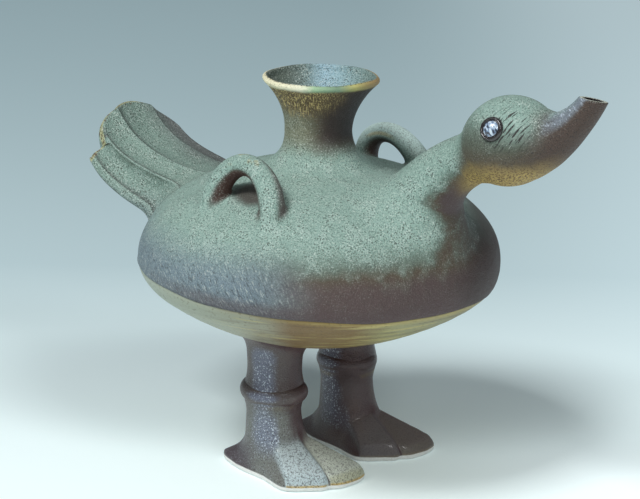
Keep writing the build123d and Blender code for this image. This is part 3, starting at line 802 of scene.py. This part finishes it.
# %% Scalloped trim
TAIL_NOTCHES = np.array([
    (-1.02, 25.5, 0.25), (-0.76, 20.8, 0.22), (-0.38, 5.0, 0.2),
    (0.45, 7.8, 0.12), (0.68, 20.5, 0.2), (1.0, 36.0, 0),
])
TRIM_HALF, TAIL_POINTS = 31, 90
trim_turn = math.radians(-2)
TRIM_X = np.array((-math.sin(trim_turn), math.cos(trim_turn), 0))
OUT = np.array((-math.cos(trim_turn), -math.sin(trim_turn), 1)) / math.sqrt(2)
tip = -118 * BACK + 153 * UP
notches = TAIL_NOTCHES[:, :2] * (TRIM_HALF, -1)
t = np.linspace(0, 1, 20)[:, None]
lobes = []
for start, end, bulge in zip(notches, notches[1:], TAIL_NOTCHES[:, 2]):
    chord = end - start
    lobes.append(start + chord * t + np.array((-chord[1], chord[0])) * bulge * 4 * t * (1 - t))
lobes = np.vstack(lobes)


def beyond_trim(p):
    """How far points stand beyond the scalloped end."""
    return (p - tip) @ OUT - np.interp((p - tip) @ TRIM_X, lobes[:, 0], lobes[:, 1])


def trimmed(lines):
    """Lines from root to rim, each cut where it first meets the scalloped end."""
    cut = []
    for line in np.swapaxes(lines, 0, 1):
        over = beyond_trim(line)
        cut.append(cut_line(line, over, np.nonzero(over > 0)[0][0] - 1, TAIL_POINTS))
    return np.swapaxes(np.array(cut), 0, 1)


top, under = trimmed(slab[:, 0]), trimmed(slab[:, 1])
print("tail trimmed to", len(notches) - 1, "lobes")

# %% Tail glaze
FLUTE_SHADE, FAR_PURPLE, RIM_GOLD = paint(56, 58, 56), paint(88, 80, 86), paint(196, 194, 140)


def tail_zones(colour, spot, facing, cloud):
    """Pale ridges, painted shade in each flute toward the next ridge, a purple far side and a wiped near rim.
    """
    rim, crest, pool = (spot.mark(name) for name in ("rim", "crest", "pool"))
    near = (spot.dot(LEFTWARD) + (cloud - 0.5) * 10).step(12, -6)
    # Painted shade: pool darkens each flute's wall next to its near ridge, which faces away from the light.
    colour = colour.tint(SAGE_DEEP, 0.4).tint(FLUTE_SHADE, pool.step(0.55, 1.0) * 0.95)
    colour = colour.tint(FAR_PURPLE, (1 - near) * 0.75)
    colour = colour.tint(SAGE_PALE, crest.step(0.3, 0.9) * near * 0.5)
    colour = colour.tint(INK, spot.dot(LEFTWARD).step(15, 27) * 0.5)
    wiped = (rim + (cloud - 0.5) * 0.6).step(0.55, 0.9)
    colour = colour.tint(RIM_GOLD, wiped * near * 0.8).tint(INK, wiped * (1 - near) * 0.6)
    dots = spot.noise(2.0, 2).step(0.52, 0.6)
    return colour.tint(RUST, dots * rim.step(0.3, 0.7) * 0.85), (1 - near) * 0.5


tail_glaze = ash_glaze("tail_glaze", tail_zones)
print("tail glaze ready")

# %% Tail
EDGE_ROUND = ((0.2, 0.9), (0.5, 1.3), (0.8, 0.9))
RIM_ROUND = ((0.86, 0.7), (0.55, 1.25), (0.0, 1.5))
RIM_FULL, RIM_FADE = 1.35, 3.2


def rounded_edge(start, end, way):
    """Three lines that round the side of the slab over."""
    return np.stack([start + (end - start) * t + bulge * way for t, bulge in EDGE_ROUND], 1)


near_edge = rounded_edge(top[:, -1], under[:, -1], -LEFT)
far_edge = rounded_edge(under[:, 0], top[:, 0], LEFT)
slab_rings = np.concatenate([top, near_edge, under[:, ::-1], far_edge], 1)
skirted = lute(slab_rings, body_gap, reach=11, spread=10, rest=60, steps=14)
last, count = skirted[-1], len(share)
mate = np.concatenate([
    np.arange(count + 3, 2 * count + 3)[::-1], [count + 2, count + 1, count],
    np.arange(count)[::-1], [2 * count + 5, 2 * count + 4, 2 * count + 3],
])
middle = (last + last[mate]) / 2
rim_rings = [middle + (last - middle) * keep + OUT * reach for keep, reach in RIM_ROUND]
rings = np.concatenate([skirted, rim_rings])
from_rim = np.cumsum(np.linalg.norm(np.diff(rings[::-1], axis=0), axis=2), axis=0)[::-1]
from_rim = np.concatenate([from_rim, np.zeros((1, from_rim.shape[1]))])
below = np.zeros(count + 2 * len(EDGE_ROUND))
crest = np.concatenate([np.clip(1 - 5 * dip, 0, 1), below]) * np.ones(rings.shape[:2])
# Where the painted flute shadow lies: it grows across each flute toward its near ridge.
shade = np.append(np.tile(flute**2, FLUTES), 0.0)
pool = np.concatenate([shade, below]) * np.ones(rings.shape[:2])
rim = np.clip(RIM_FULL - from_rim / RIM_FADE, 0, 1)
mesh = mesh_of("fluted_tail", rings, rim=rim, crest=crest, pool=pool)
piece("fluted_tail", mesh, tail_glaze, "tail_fan")

# %% [markdown]
# ## Loops
# Two coils were bent into arches and pressed on to the shoulders. Cord or a finger goes through them.
# Inside the arch the glaze is a dark rusty brown laid on as painted shade, faces turned right on the near
# loop are purple, partly glaze and partly painted shade, and the far loop's crown is lightened as painted
# light.
# A bevelled curve would make the arch, but with blunt ends, so rings are set along it and both of its
# feet are luted to the dome. The two loops have sizes of their own, as bent by hand.

# %% Loop glaze
ARCH_CENTRE = (-LOOP_X, 0, -128)
LOOP_SHADE, FAR_CROWN_LIGHT, FAR_GOLD = paint(72, 44, 36), paint(222, 250, 244), paint(236, 206, 120)


def loop_zones(colour, spot, facing, cloud):
    """Painted shade inside the arch, golden touches on top and painted light on the far loop's crown."""
    height = spot.dot(UPWARD)
    from_centre = spot.node("VectorMath", {0: spot, 1: ARCH_CENTRE}, operation="ADD")
    inner = facing.scaled((1, 0, 1)).dot(from_centre)
    touch = spot.noise(5, 2).step(0.58, 0.66) * height.step(146, 152)
    colour = colour.tint(GOLD, touch * 0.4)
    far = spot.dot(LEFTWARD).step(20, 40)
    # Painted light: the far loop's crown, turned up toward the light, is tinted pale.
    crown = far * height.step(137, 148) * facing.dot((-0.3, -0.4, 0.87)).step(-0.4, 0.5)
    colour = colour.tint(PURPLE, far * 0.3).tint(FAR_CROWN_LIGHT, crown * 0.95)
    edge = inner.step(7, 2) * inner.step(-5, -1) * height.step(143, 147) * spot.dot(FORWARD).step(10, -2)
    colour = colour.tint(FAR_GOLD, far * edge * 0.5)
    # The near loop's faces turned right are purple, partly glaze and partly painted shade.
    colour = colour.tint(PURPLE, facing.dot(VIEW_RIGHT).step(0.2, 0.8) * (1 - far) * 0.8)
    # Painted shade inside the arch, in a dark rusty brown.
    shaded = (inner + (cloud - 0.5) * 6).step(-2, -9) * (0.92 - far * 0.4)
    return colour.tint(LOOP_SHADE, shaded), far * 0.4


loop_glaze = ash_glaze("loop_glaze", loop_zones)
print("loop glaze ready")

# %% Loops
LOOP_SPAN, LOOP_SHEAR, LOOP_THICK, LOOP_SINK = 17.5, -2.0, 5.3, 5.4
LOOPS = {
    "right": {"out": 55.5, "tall": 23.0, "lean": 16, "shift": 0.0},
    "left": {"out": 53.0, "tall": 21.0, "lean": 10, "shift": -2.2},
}
CROWN_RING = 40
a = np.radians(np.linspace(-25, 205, 2 * CROWN_RING + 1))[:, None]
turn = np.linspace(0, 2 * np.pi, 48, endpoint=False)[:, None]
thick = (LOOP_THICK + 0.5 * np.cos(2 * a))[..., None]
ahead_x = np.array((1.0, 0, 0))
for name, loop in LOOPS.items():
    side, out, lean = SIDES[name], loop["out"], math.radians(loop["lean"])
    shoulder = EQUATOR + RISE * math.sqrt(1 - (out / RADIUS) ** 2)
    foot = np.array((LOOP_X + loop["shift"], side * out, shoulder - LOOP_SINK))
    rise = np.array((0, -side * math.sin(lean), math.cos(lean)))
    climb = loop["tall"] * rise + LOOP_SHEAR * ahead_x
    path = foot + LOOP_SPAN * np.cos(a) * ahead_x + np.sin(a) * climb
    ahead = -LOOP_SPAN * np.sin(a) * ahead_x + np.cos(a) * climb
    ahead /= np.linalg.norm(ahead, axis=1, keepdims=True)
    square = np.cross(rise, ahead_x)
    level = np.cross(ahead, square)
    coil = path[:, None] + thick * (np.cos(turn) * square + np.sin(turn) * level[:, None])
    halves = coil[: CROWN_RING + 1], coil[CROWN_RING:][::-1]
    front_half, back_half = (lute(half, body_gap, reach=4, spread=4, rest=26) for half in halves)
    rings = np.concatenate([front_half, back_half[::-1][1:]])
    full = name + "_coil_loop"
    piece(full, mesh_of(full, rings), loop_glaze, name + "_loop")

# %% [markdown]
# ## Legs
# Solid legs carry the weight. They were dipped in dark slip, which is glossier than the ash glaze.
# Where a leg faces the light it has a painted highlight, a bluish streak with glints.
# Each flares where it was luted to the bowl and swells a little at its coil.
# A cylinder with loop cuts could be shaped to this; a profile that is spun says the sizes outright.
# The right leg stands in the light and the left one in shade, so each has its own slip: on the left leg and
# foot the grey front and the toe colours are mostly faded out and the sheen is weaker, as painted shade.

# %% Leg slip
LEG_X, LEG_Y, LEG_RADIUS = -3.4, 25.6, 12.2
RING_HEIGHTS = {"right": 39.0, "left": 42.0}
# Painted shade: LIT is how much of the lighter patches each side keeps; the left leg and foot stand in shade.
LIT = {"right": 1.0, "left": 0.12}
GLINTS = {"right": (0.286, -0.958, 0.1), "left": (-0.024, -1, 0.1)}
SLIP = ((0, paint(58, 36, 37)), (0.5, paint(78, 52, 54)), (1, paint(92, 62, 46)))
SLIP_GREY, SHEEN_BLUE, SLIP_OCHRE = paint(126, 130, 124), paint(132, 144, 172), paint(132, 112, 58)
GLINT, WIPED_EDGE = paint(222, 232, 244), paint(254, 254, 250)


def dark_slip(name, side, toes=None):
    """Dark slip with a painted sheen and glints toward the light, an ochre line under the coil; toes adds a
    foot's patches.
    """
    material, spot, facing = start_material(name)
    lit = LIT[side]
    cloud, grain, cell = spot.noise(14, 4), spot.noise(0.6, 2, 0.6), spot.noise(0.7, 1)
    height = spot.dot(UPWARD)
    # Painted highlight: a bluish streak where the leg faces the key light, along the way given in GLINTS.
    painted_sheen = (facing.dot(GLINTS[side]) + (cloud - 0.5) * 0.25).step(0.82, 1.02) * height.step(8, 20)
    front = (facing.dot((0.3, -0.9, 0.3)) + (cloud - 0.5) * 0.6).step(0.25, 0.8)
    front = front * (0.3 + height.step(40, 30) * 0.7)
    colour = cloud.ramp(*SLIP).tint(SLIP_GREY, front * 0.85 * lit)
    colour = colour.tint(SHEEN_BLUE, painted_sheen * (0.35 + 0.25 * lit))
    under = height + (cloud - 0.5) * 3 - RING_HEIGHTS[side]
    ochre = under.step(-7, -5.2) * under.step(-3.2, -4.6) * cloud.step(0.42, 0.6)
    colour = colour.tint(SLIP_OCHRE, ochre * 0.5)
    if toes:
        colour = toes(colour, spot, cloud, lit)
    colour = colour.tint(INK, grain.step(0.53, 0.64) * (0.3 + front * 0.4 * lit))
    # Painted glints in the sheen and, fainter, on the grey front.
    colour = colour.tint(GLINT, cell.step(0.58, 0.67) * (painted_sheen + front * 0.25 * lit) * 0.8)
    if toes:
        colour = colour.tint(WIPED_EDGE, (height + (cloud - 0.5)).step(2.5, 1.9))
    return finish_material(material, colour, 0.25 + grain * 0.25, grain * 0.8 + cloud, 0.6, 0.2)


leg_glazes = {name: dark_slip(name + "_leg_slip", name) for name in SIDES}
print("slip for the legs", list(leg_glazes))

# %% Legs
LEG_TURNS, LEG_SWELL, SWELL_TALL = 72, 1.8, 6
LEG_FLARE, FLARE_FROM, LEG_FLARE_TALL = 1.6, 46, 20
heights = np.concatenate([np.linspace(78, 58, 41), np.linspace(57, 22, 50)])
for name, side in SIDES.items():
    swell = LEG_SWELL * np.exp(-(((heights - RING_HEIGHTS[name]) / SWELL_TALL) ** 2))
    radius = LEG_RADIUS + LEG_FLARE * np.clip((heights - FLARE_FROM) / LEG_FLARE_TALL, 0, 1) ** 2 + swell
    column = spin(np.stack([radius, heights], 1), LEG_TURNS, (LEG_X, side * LEG_Y))
    column = lute(column, body_gap, reach=7, spread=6, rest=60)
    full = name + "_leg_column"
    piece(full, mesh_of(full, column), leg_glazes[name], name + "_leg")

# %% [markdown]
# ## Ankle coils
# A coil of clay is wrapped round each ankle and pressed on. It is a section that follows a path, so it is
# made with Geometry Nodes: a circle is shaken a little by noise, as a rolled coil is uneven, and a round
# section is swept along it. The same tree makes both coils from their own inputs.

# %% Coil tree
def coil_tree():
    """Geometry nodes that sweep a round section along an uneven ring, and the inputs by name."""
    tree = bpy.data.node_groups.new("pressed_coil", "GeometryNodeTree")
    tree.interface.new_socket("Geometry", in_out="OUTPUT", socket_type="NodeSocketGeometry")
    kinds = {"Place": "Vector", "Ring Radius": "Float", "Coil Radius": "Float", "Unevenness": "Float",
             "Seed": "Float", "Slip": "Material"}
    names = {}
    for label, kind in kinds.items():
        socket = tree.interface.new_socket(label, in_out="INPUT", socket_type="NodeSocket" + kind)
        names[label] = socket.identifier
    given, result = tree.nodes.new("NodeGroupInput"), tree.nodes.new("NodeGroupOutput")
    size = given.outputs

    def add(kind, settings=None, **inputs):
        """Makes a node with settings, then gives its inputs values or links; _ stands for a space."""
        made = tree.nodes.new(kind)
        for key, value in (settings or {}).items():
            setattr(made, key, value)
        for key, value in inputs.items():
            socket = made.inputs[key.replace("_", " ")]
            if isinstance(value, bpy.types.NodeSocket):
                tree.links.new(value, socket)
            else:
                socket.default_value = value
        return made

    ring = add("GeometryNodeCurvePrimitiveCircle", Resolution=96, Radius=size["Ring Radius"])
    section = add("GeometryNodeCurvePrimitiveCircle", Resolution=28, Radius=size["Coil Radius"])
    shake = add("ShaderNodeTexNoise", {"noise_dimensions": "4D"}, Scale=45.0, W=size["Seed"], Detail=1.0)
    level = add("ShaderNodeVectorMath", {"operation": "SUBTRACT"}, Vector=shake.outputs["Color"])
    level.inputs[1].default_value = (0.5, 0.5, 0.5)
    scale = {"operation": "SCALE"}
    offset = add("ShaderNodeVectorMath", scale, Vector=level.outputs[0], Scale=size["Unevenness"])
    uneven = add("GeometryNodeSetPosition", Geometry=ring.outputs[0], Offset=offset.outputs[0])
    coil = add("GeometryNodeCurveToMesh", Curve=uneven.outputs[0], Profile_Curve=section.outputs[0])
    placed = add("GeometryNodeTransform", Geometry=coil.outputs[0], Translation=size["Place"])
    smooth = add("GeometryNodeSetShadeSmooth", Geometry=placed.outputs[0])
    real = add("GeometryNodeRealizeInstances", Geometry=smooth.outputs[0])
    coated = add("GeometryNodeSetMaterial", Geometry=real.outputs[0], Material=size["Slip"])
    tree.links.new(coated.outputs[0], result.inputs[0])
    return tree, names


tree, inputs = coil_tree()
print("coil inputs", list(inputs))

# %% Ankle coils
COIL_RADIUS, COIL_STAND, COIL_SHAKE = 4.8, 2.8, 0.005
COIL_SEEDS = {"right": 3.0, "left": 8.0}
for name, side in SIDES.items():
    full = name + "_ankle_coil"
    maker = bpy.data.objects.new(full + "_maker", bpy.data.meshes.new(full + "_maker"))
    bpy.context.scene.collection.objects.link(maker)
    modifier = maker.modifiers.new("pressed_coil", "NODES")
    modifier.node_group = tree
    modifier[inputs["Place"]] = ((AXIS + LEG_X) / 1000, side * LEG_Y / 1000, RING_HEIGHTS[name] / 1000)
    modifier[inputs["Ring Radius"]] = (LEG_RADIUS + COIL_STAND - COIL_RADIUS) / 1000
    modifier[inputs["Coil Radius"]] = COIL_RADIUS / 1000
    modifier[inputs["Unevenness"]] = COIL_SHAKE
    modifier[inputs["Seed"]] = COIL_SEEDS[name]
    modifier[inputs["Slip"]] = leg_glazes[name]
    mesh = bpy.data.meshes.new_from_object(maker.evaluated_get(bpy.context.evaluated_depsgraph_get()))
    bpy.data.objects.remove(maker)
    mesh.name = full
    piece(full, mesh, leg_glazes[name], name + "_ankle_ring")

# %% [markdown]
# ## Feet
# Each foot is a slab, cut to a webbed outline and pinched into a wide middle toe and a lower inner toe.
# The glaze is wiped off the lowest edge so that it doesn't stick to the kiln shelf. The foot is a height
# field: the instep falls from the ankle to the sole's outline, and the toes are plates that stand out of it.
# Sculpting would give such a foot as well, but a height field can be written in sizes and used twice.

# %% Foot glaze
TOE_BLUE, TOE_GREEN, TOE_OCHRE = paint(204, 222, 226), paint(218, 226, 214), paint(168, 164, 110)
TOE_GOLD, CREASE_PALE, HEEL_PURPLE = paint(206, 172, 92), paint(240, 244, 234), paint(74, 60, 68)


def toe_zones(colour, spot, cloud, lit):
    """Grey-green toes with a golden line at the front and a pale line between them."""
    height = spot.dot(UPWARD)
    toe, web, front, crease = (spot.mark(name) for name in ("toe", "web", "front", "crease"))
    climb = (height + (cloud - 0.5) * 10).step(33, 8)
    outer = (spot.dot(VIEW_RIGHT) - VIEW_RIGHT[0] * LEG_X + VIEW_RIGHT[1] * LEG_Y).step(-5, -14) * height.step(22, 10)
    # lit fades the toe colours on the shaded left foot, as painted shade.
    colour = colour.tint(HEEL_PURPLE, outer * 0.95 * lit)
    colour = colour.tint(TOE_BLUE, toe.step(0.2, 0.8) * climb * 0.88 * lit)
    colour = colour.tint(TOE_GREEN, web.step(0.2, 0.8) * climb * 0.95 * lit)
    colour = colour.tint(TOE_OCHRE, web.step(0.5, 0.9) * front.step(0.85, 1.0) * 0.5 * lit)
    line = front.step(0.9, 0.97) * height.step(3.6, 2.6) * (toe + web).step(0.3, 0.7)
    colour = colour.tint(TOE_GOLD, line * 0.9 * lit)
    colour = colour.tint(CREASE_PALE, crease.step(0.4, 0.8) * 0.85 * lit)
    return colour.tint(INK, spot.noise(1.0, 2).step(0.53, 0.62) * (toe + web) * 0.45 * lit)


foot_glazes = {name: dark_slip(name + "_foot_glaze", name, toe_zones) for name in SIDES}
print("slip for the feet", list(foot_glazes))

# %% Foot outline
TURNS, SOLE = 300, 3.5
DENT_DEPTH, DENT_TURN, DENT_WIDTH = 0.05, -0.02, 0.07
outline = smooth_rows([
    (0, 13), (-17, 9.5), (-27.5, -2.5), (-13, -10), (5, -12.5), (20.5, -16), (30, -8),
    (36.5, 0.5), (39, 14.5), (34, 22.5), (17, 15.5), (0, 13),
], 16)[:-1]
angle = np.linspace(-np.pi, np.pi, TURNS, endpoint=False)
outline = outline[np.argsort(np.arctan2(outline[:, 1], outline[:, 0]))]
outline_turn = np.arctan2(outline[:, 1], outline[:, 0])
edge = np.stack([np.interp(angle, outline_turn, axis, period=2 * np.pi) for axis in outline.T], 1)
edge *= 1 - DENT_DEPTH * np.exp(-(((angle - DENT_TURN) / DENT_WIDTH) ** 2))[:, None]
away = np.linspace(0, 1, 52)[:, None]
circle = (LEG_RADIUS + 0.1) * np.stack([np.cos(angle), np.sin(angle)], 1)
flat = circle + (edge - circle) * away[..., None]
print("sole", np.ptp(edge, axis=0).round(1), "mm")

# %% Toes
TOE_SOFT, ROOT_SOFT, TOE_CROWN = 1.3, 8, 0.9
TIP_DROP, TIP_FROM, TIP_LONG = 2.2, 0.88, 0.12


def toe_plate(turn, root, front):
    """Height of a toe's plate at the points of the foot, and where the points are on it, with soft sides."""
    (start, width, height), (end, end_width, end_height) = root, front
    across = np.array((-math.sin(math.radians(turn)), math.cos(math.radians(turn))))
    way = np.stack([np.subtract(end, start), across], 1)
    along, aside = np.moveaxis((flat - start) @ np.linalg.inv(way).T, -1, 0)
    half = (width + (end_width - width) * along) / 2
    soft = TOE_SOFT + ROOT_SOFT * np.clip(1 - along, 0, 1)
    inside = np.clip((half - np.abs(aside)) / soft + 0.5, 0, 1)
    inside = inside * inside * (3 - 2 * inside) * (along > 0)
    crown = TOE_CROWN * np.clip(1 - (aside / half) ** 2, 0, 1)
    return height + (end_height - height) * along + crown - TOE_CROWN, inside, along


fall = smooth_rows([
    (0, 33), (0.015, 28.5), (0.05, 23.5), (0.11, 18.5), (0.2, 14.5), (0.35, 11), (0.55, 8), (1, SOLE),
], 8)
instep = np.interp(away, *fall.T) + 0 * angle
inner_level, web, web_along = toe_plate(-14, ((3, 3), 12, 21), ((37, 10.5), 22, 7))
toe_level, toe, toe_along = toe_plate(-44, ((3, -1), 13, 24.5), ((29.5, -8.8), 20, 7))
level = instep + (np.maximum(inner_level, instep) - instep) * web
level = level + (np.maximum(toe_level, level) - level) * toe
level = level - np.maximum(toe, web) * TIP_DROP * np.clip((away - TIP_FROM) / TIP_LONG, 0, 1) ** 2
web = web * (1 - toe)
front = np.where(toe > 0.5, toe_along, web_along) * away
crease = np.clip(1 - np.abs(toe - 0.86) * 6, 0, 1) * (flat[..., 1] > -7) * np.clip((away - 0.55) * 6, 0, 1)
print("toes rise", (level - instep).max().round(1), "mm out of the instep")

# %% Feet
COLLAR = ((0.93, 36.5), (0.985, 34.5))
SKIRT = ((0.8, 0.35), (0.45, 0.5), (0.12, 0.3), (0.0, -0.5), (0.0, -6.0))
upper = np.concatenate([flat, level[..., None]], -1)
outward_way = edge / np.linalg.norm(edge, axis=1, keepdims=True)
skirt = []
for share, reach in SKIRT:
    skirt.append(np.concatenate([edge + reach * outward_way, (level[-1] * share)[:, None]], 1))
collar = [np.concatenate([circle * width, np.full((TURNS, 1), height)], 1) for width, height in COLLAR]
foot_rings = np.concatenate([np.array(collar), upper, np.array(skirt)])


def foot_mark(values):
    """A mark at the points of the upper side, carried over the collar and the skirt."""
    return np.concatenate([np.zeros((len(collar), TURNS)), values, np.repeat(values[-1:], len(skirt), 0)])


off_ankle = np.clip(away * 4, 0, 1)
marks = {"toe": foot_mark(toe * off_ankle), "web": foot_mark(web * off_ankle),
         "front": foot_mark(front), "crease": foot_mark(crease)}
for name, side in SIDES.items():
    full = name + "_webbed_foot"
    mesh = mesh_of(full, foot_rings + (LEG_X, side * LEG_Y, 0), **marks)
    piece(full, mesh, foot_glazes[name], name + "_foot")

# %% [markdown]
# ## Floor, light and camera
# The vessel stands on a wide pale sheet that gets darker with distance. A curved backdrop could do this with
# light alone. Here the sheet stays flat and glows a little, for the camera and in reflections only, so the
# glow lights nothing; it is weaker behind the vessel, where the shadow lies.
# A large soft light from the front left, a weaker one from the right and a pale sky keep the shadows soft.
# The camera looks from the front right, a little above, and leans by about a degree.

# %% Floor finish
AWAY = tuple(-v for v in NEAR)
FLOOR_NEAR, FLOOR_FAR = -300, 1400
SHEET_TONES = (
    (0, paint(246, 255, 255)), (0.1, paint(238, 254, 255)), (0.3, paint(206, 228, 233)),
    (1, paint(176, 200, 206)),
)
sheet, spot, facing = start_material("floor_sheet")
back_place, aside = spot.dot(AWAY), spot.dot(VIEW_RIGHT)
depth = back_place.step(FLOOR_NEAR, FLOOR_FAR)
tone = spot.noise(300, 2)
finish_material(sheet, depth.ramp(*SHEET_TONES), 0.6 + tone * 0.1, tone, 0.01)
print("floor with", len(SHEET_TONES), "tones")

# %% Floor glow
GLOW_TONES = (
    (0, paint(120, 128, 128)), (0.1, paint(112, 122, 122)), (0.3, paint(66, 78, 80)),
    (1, paint(100, 116, 120)),
)
GLOW_RIGHT, GLOW_FRONT, BLACK = paint(146, 160, 164), paint(170, 178, 180), (0, 0, 0, 1)
SHADE_BACK, SHADE_DEEP, SHADE_ASIDE, SHADE_WIDE = 100, 95, -14, 200
seen = spot.node("LightPath", out="Is Camera Ray")
for ray in ("Is Glossy Ray", "Is Transmission Ray"):
    seen = seen.maths("MAXIMUM", seen, spot.node("LightPath", out=ray))
glow = depth.ramp(*GLOW_TONES).tint(GLOW_RIGHT, aside.step(20, 380))
in_front = aside.step(30, 170) * back_place.step(70, -50) * back_place.step(-900, -150)
glow = glow.tint(GLOW_FRONT, in_front * 0.9)
behind, beside = (back_place - SHADE_BACK) / SHADE_DEEP, (aside - SHADE_ASIDE) / SHADE_WIDE
shaded = (behind * behind + beside * beside).step(1.3, 0.2)
glow = glow.tint(BLACK, shaded * 0.85)
lifted = seen.node("Mix", {0: seen, 6: BLACK, 7: glow}, out=2, data_type="RGBA")
shader = sheet.node_tree.nodes["Principled BSDF"]
sheet.node_tree.links.new(lifted.socket, shader.inputs["Emission Color"])
shader.inputs["Emission Strength"].default_value = 1.0
print("glow with", len(GLOW_TONES), "tones")

# %% Floor
FLOOR_HALF = 6.0
corners = [(x * FLOOR_HALF, y * FLOOR_HALF, 0) for x, y in ((-1, -1), (1, -1), (1, 1), (-1, 1))]
mesh = bpy.data.meshes.new("floor")
mesh.from_pydata(corners, [], [(0, 1, 2, 3)])
mesh.materials.append(sheet)
floor = bpy.data.objects.new("floor", mesh)
bpy.context.scene.collection.objects.link(floor)
print("floor laid")

# %% Light
SKY, SKY_STRENGTH, LIT_PLACE = (0.88, 0.95, 1.0, 1), 0.18, Vector((AXIS / 1000, 0, 0.1))
scene = bpy.context.scene
world = bpy.data.worlds.new("soft_sky")
world.use_nodes = True
background = world.node_tree.nodes["Background"]
background.inputs["Color"].default_value = SKY
background.inputs["Strength"].default_value = SKY_STRENGTH
scene.world = world


def lamp(name, place, size, power):
    """A soft square light that looks at the vessel."""
    data = bpy.data.lights.new(name, "AREA")
    data.size, data.energy = size, power
    made = bpy.data.objects.new(name, data)
    made.location = place
    made.rotation_euler = (LIT_PLACE - Vector(place)).to_track_quat("-Z", "Y").to_euler()
    scene.collection.objects.link(made)


lamp("window", (-0.18, -1.03, 1.5), size=0.5, power=20)
lamp("reflector", (1.19, -0.40, 1.08), size=0.4, power=6)
print("two lamps and a sky")

# %% Camera
CAMERA_REACH, SENSOR, LENS = 0.9, 36, 111.6
AIM_ASIDE, AIM_HEIGHT = 0.0001, 0.1005
azimuth, elevation, roll = (math.radians(v) for v in (40.6, 15.4, 1.3))
right = Vector((math.cos(azimuth), math.sin(azimuth), 0))
level_back = Vector((math.sin(azimuth), -math.cos(azimuth), 0))
back = level_back * math.cos(elevation) + Vector((0, 0, math.sin(elevation)))
up = back.cross(right)
image_right = right * math.cos(roll) + up * math.sin(roll)
image_up = back.cross(image_right)
eye = Vector((AXIS / 1000, 0, AIM_HEIGHT)) + right * AIM_ASIDE + back * CAMERA_REACH
camera = bpy.data.objects.new("camera", bpy.data.cameras.new("camera"))
camera.data.sensor_width, camera.data.lens = SENSOR, LENS
camera.matrix_world = Matrix((image_right, image_up, back)).transposed().to_4x4()
camera.location = eye
scene.collection.objects.link(camera)
scene.camera = camera
scene.view_settings.view_transform = "Standard"
print("camera at", [round(v, 3) for v in eye])
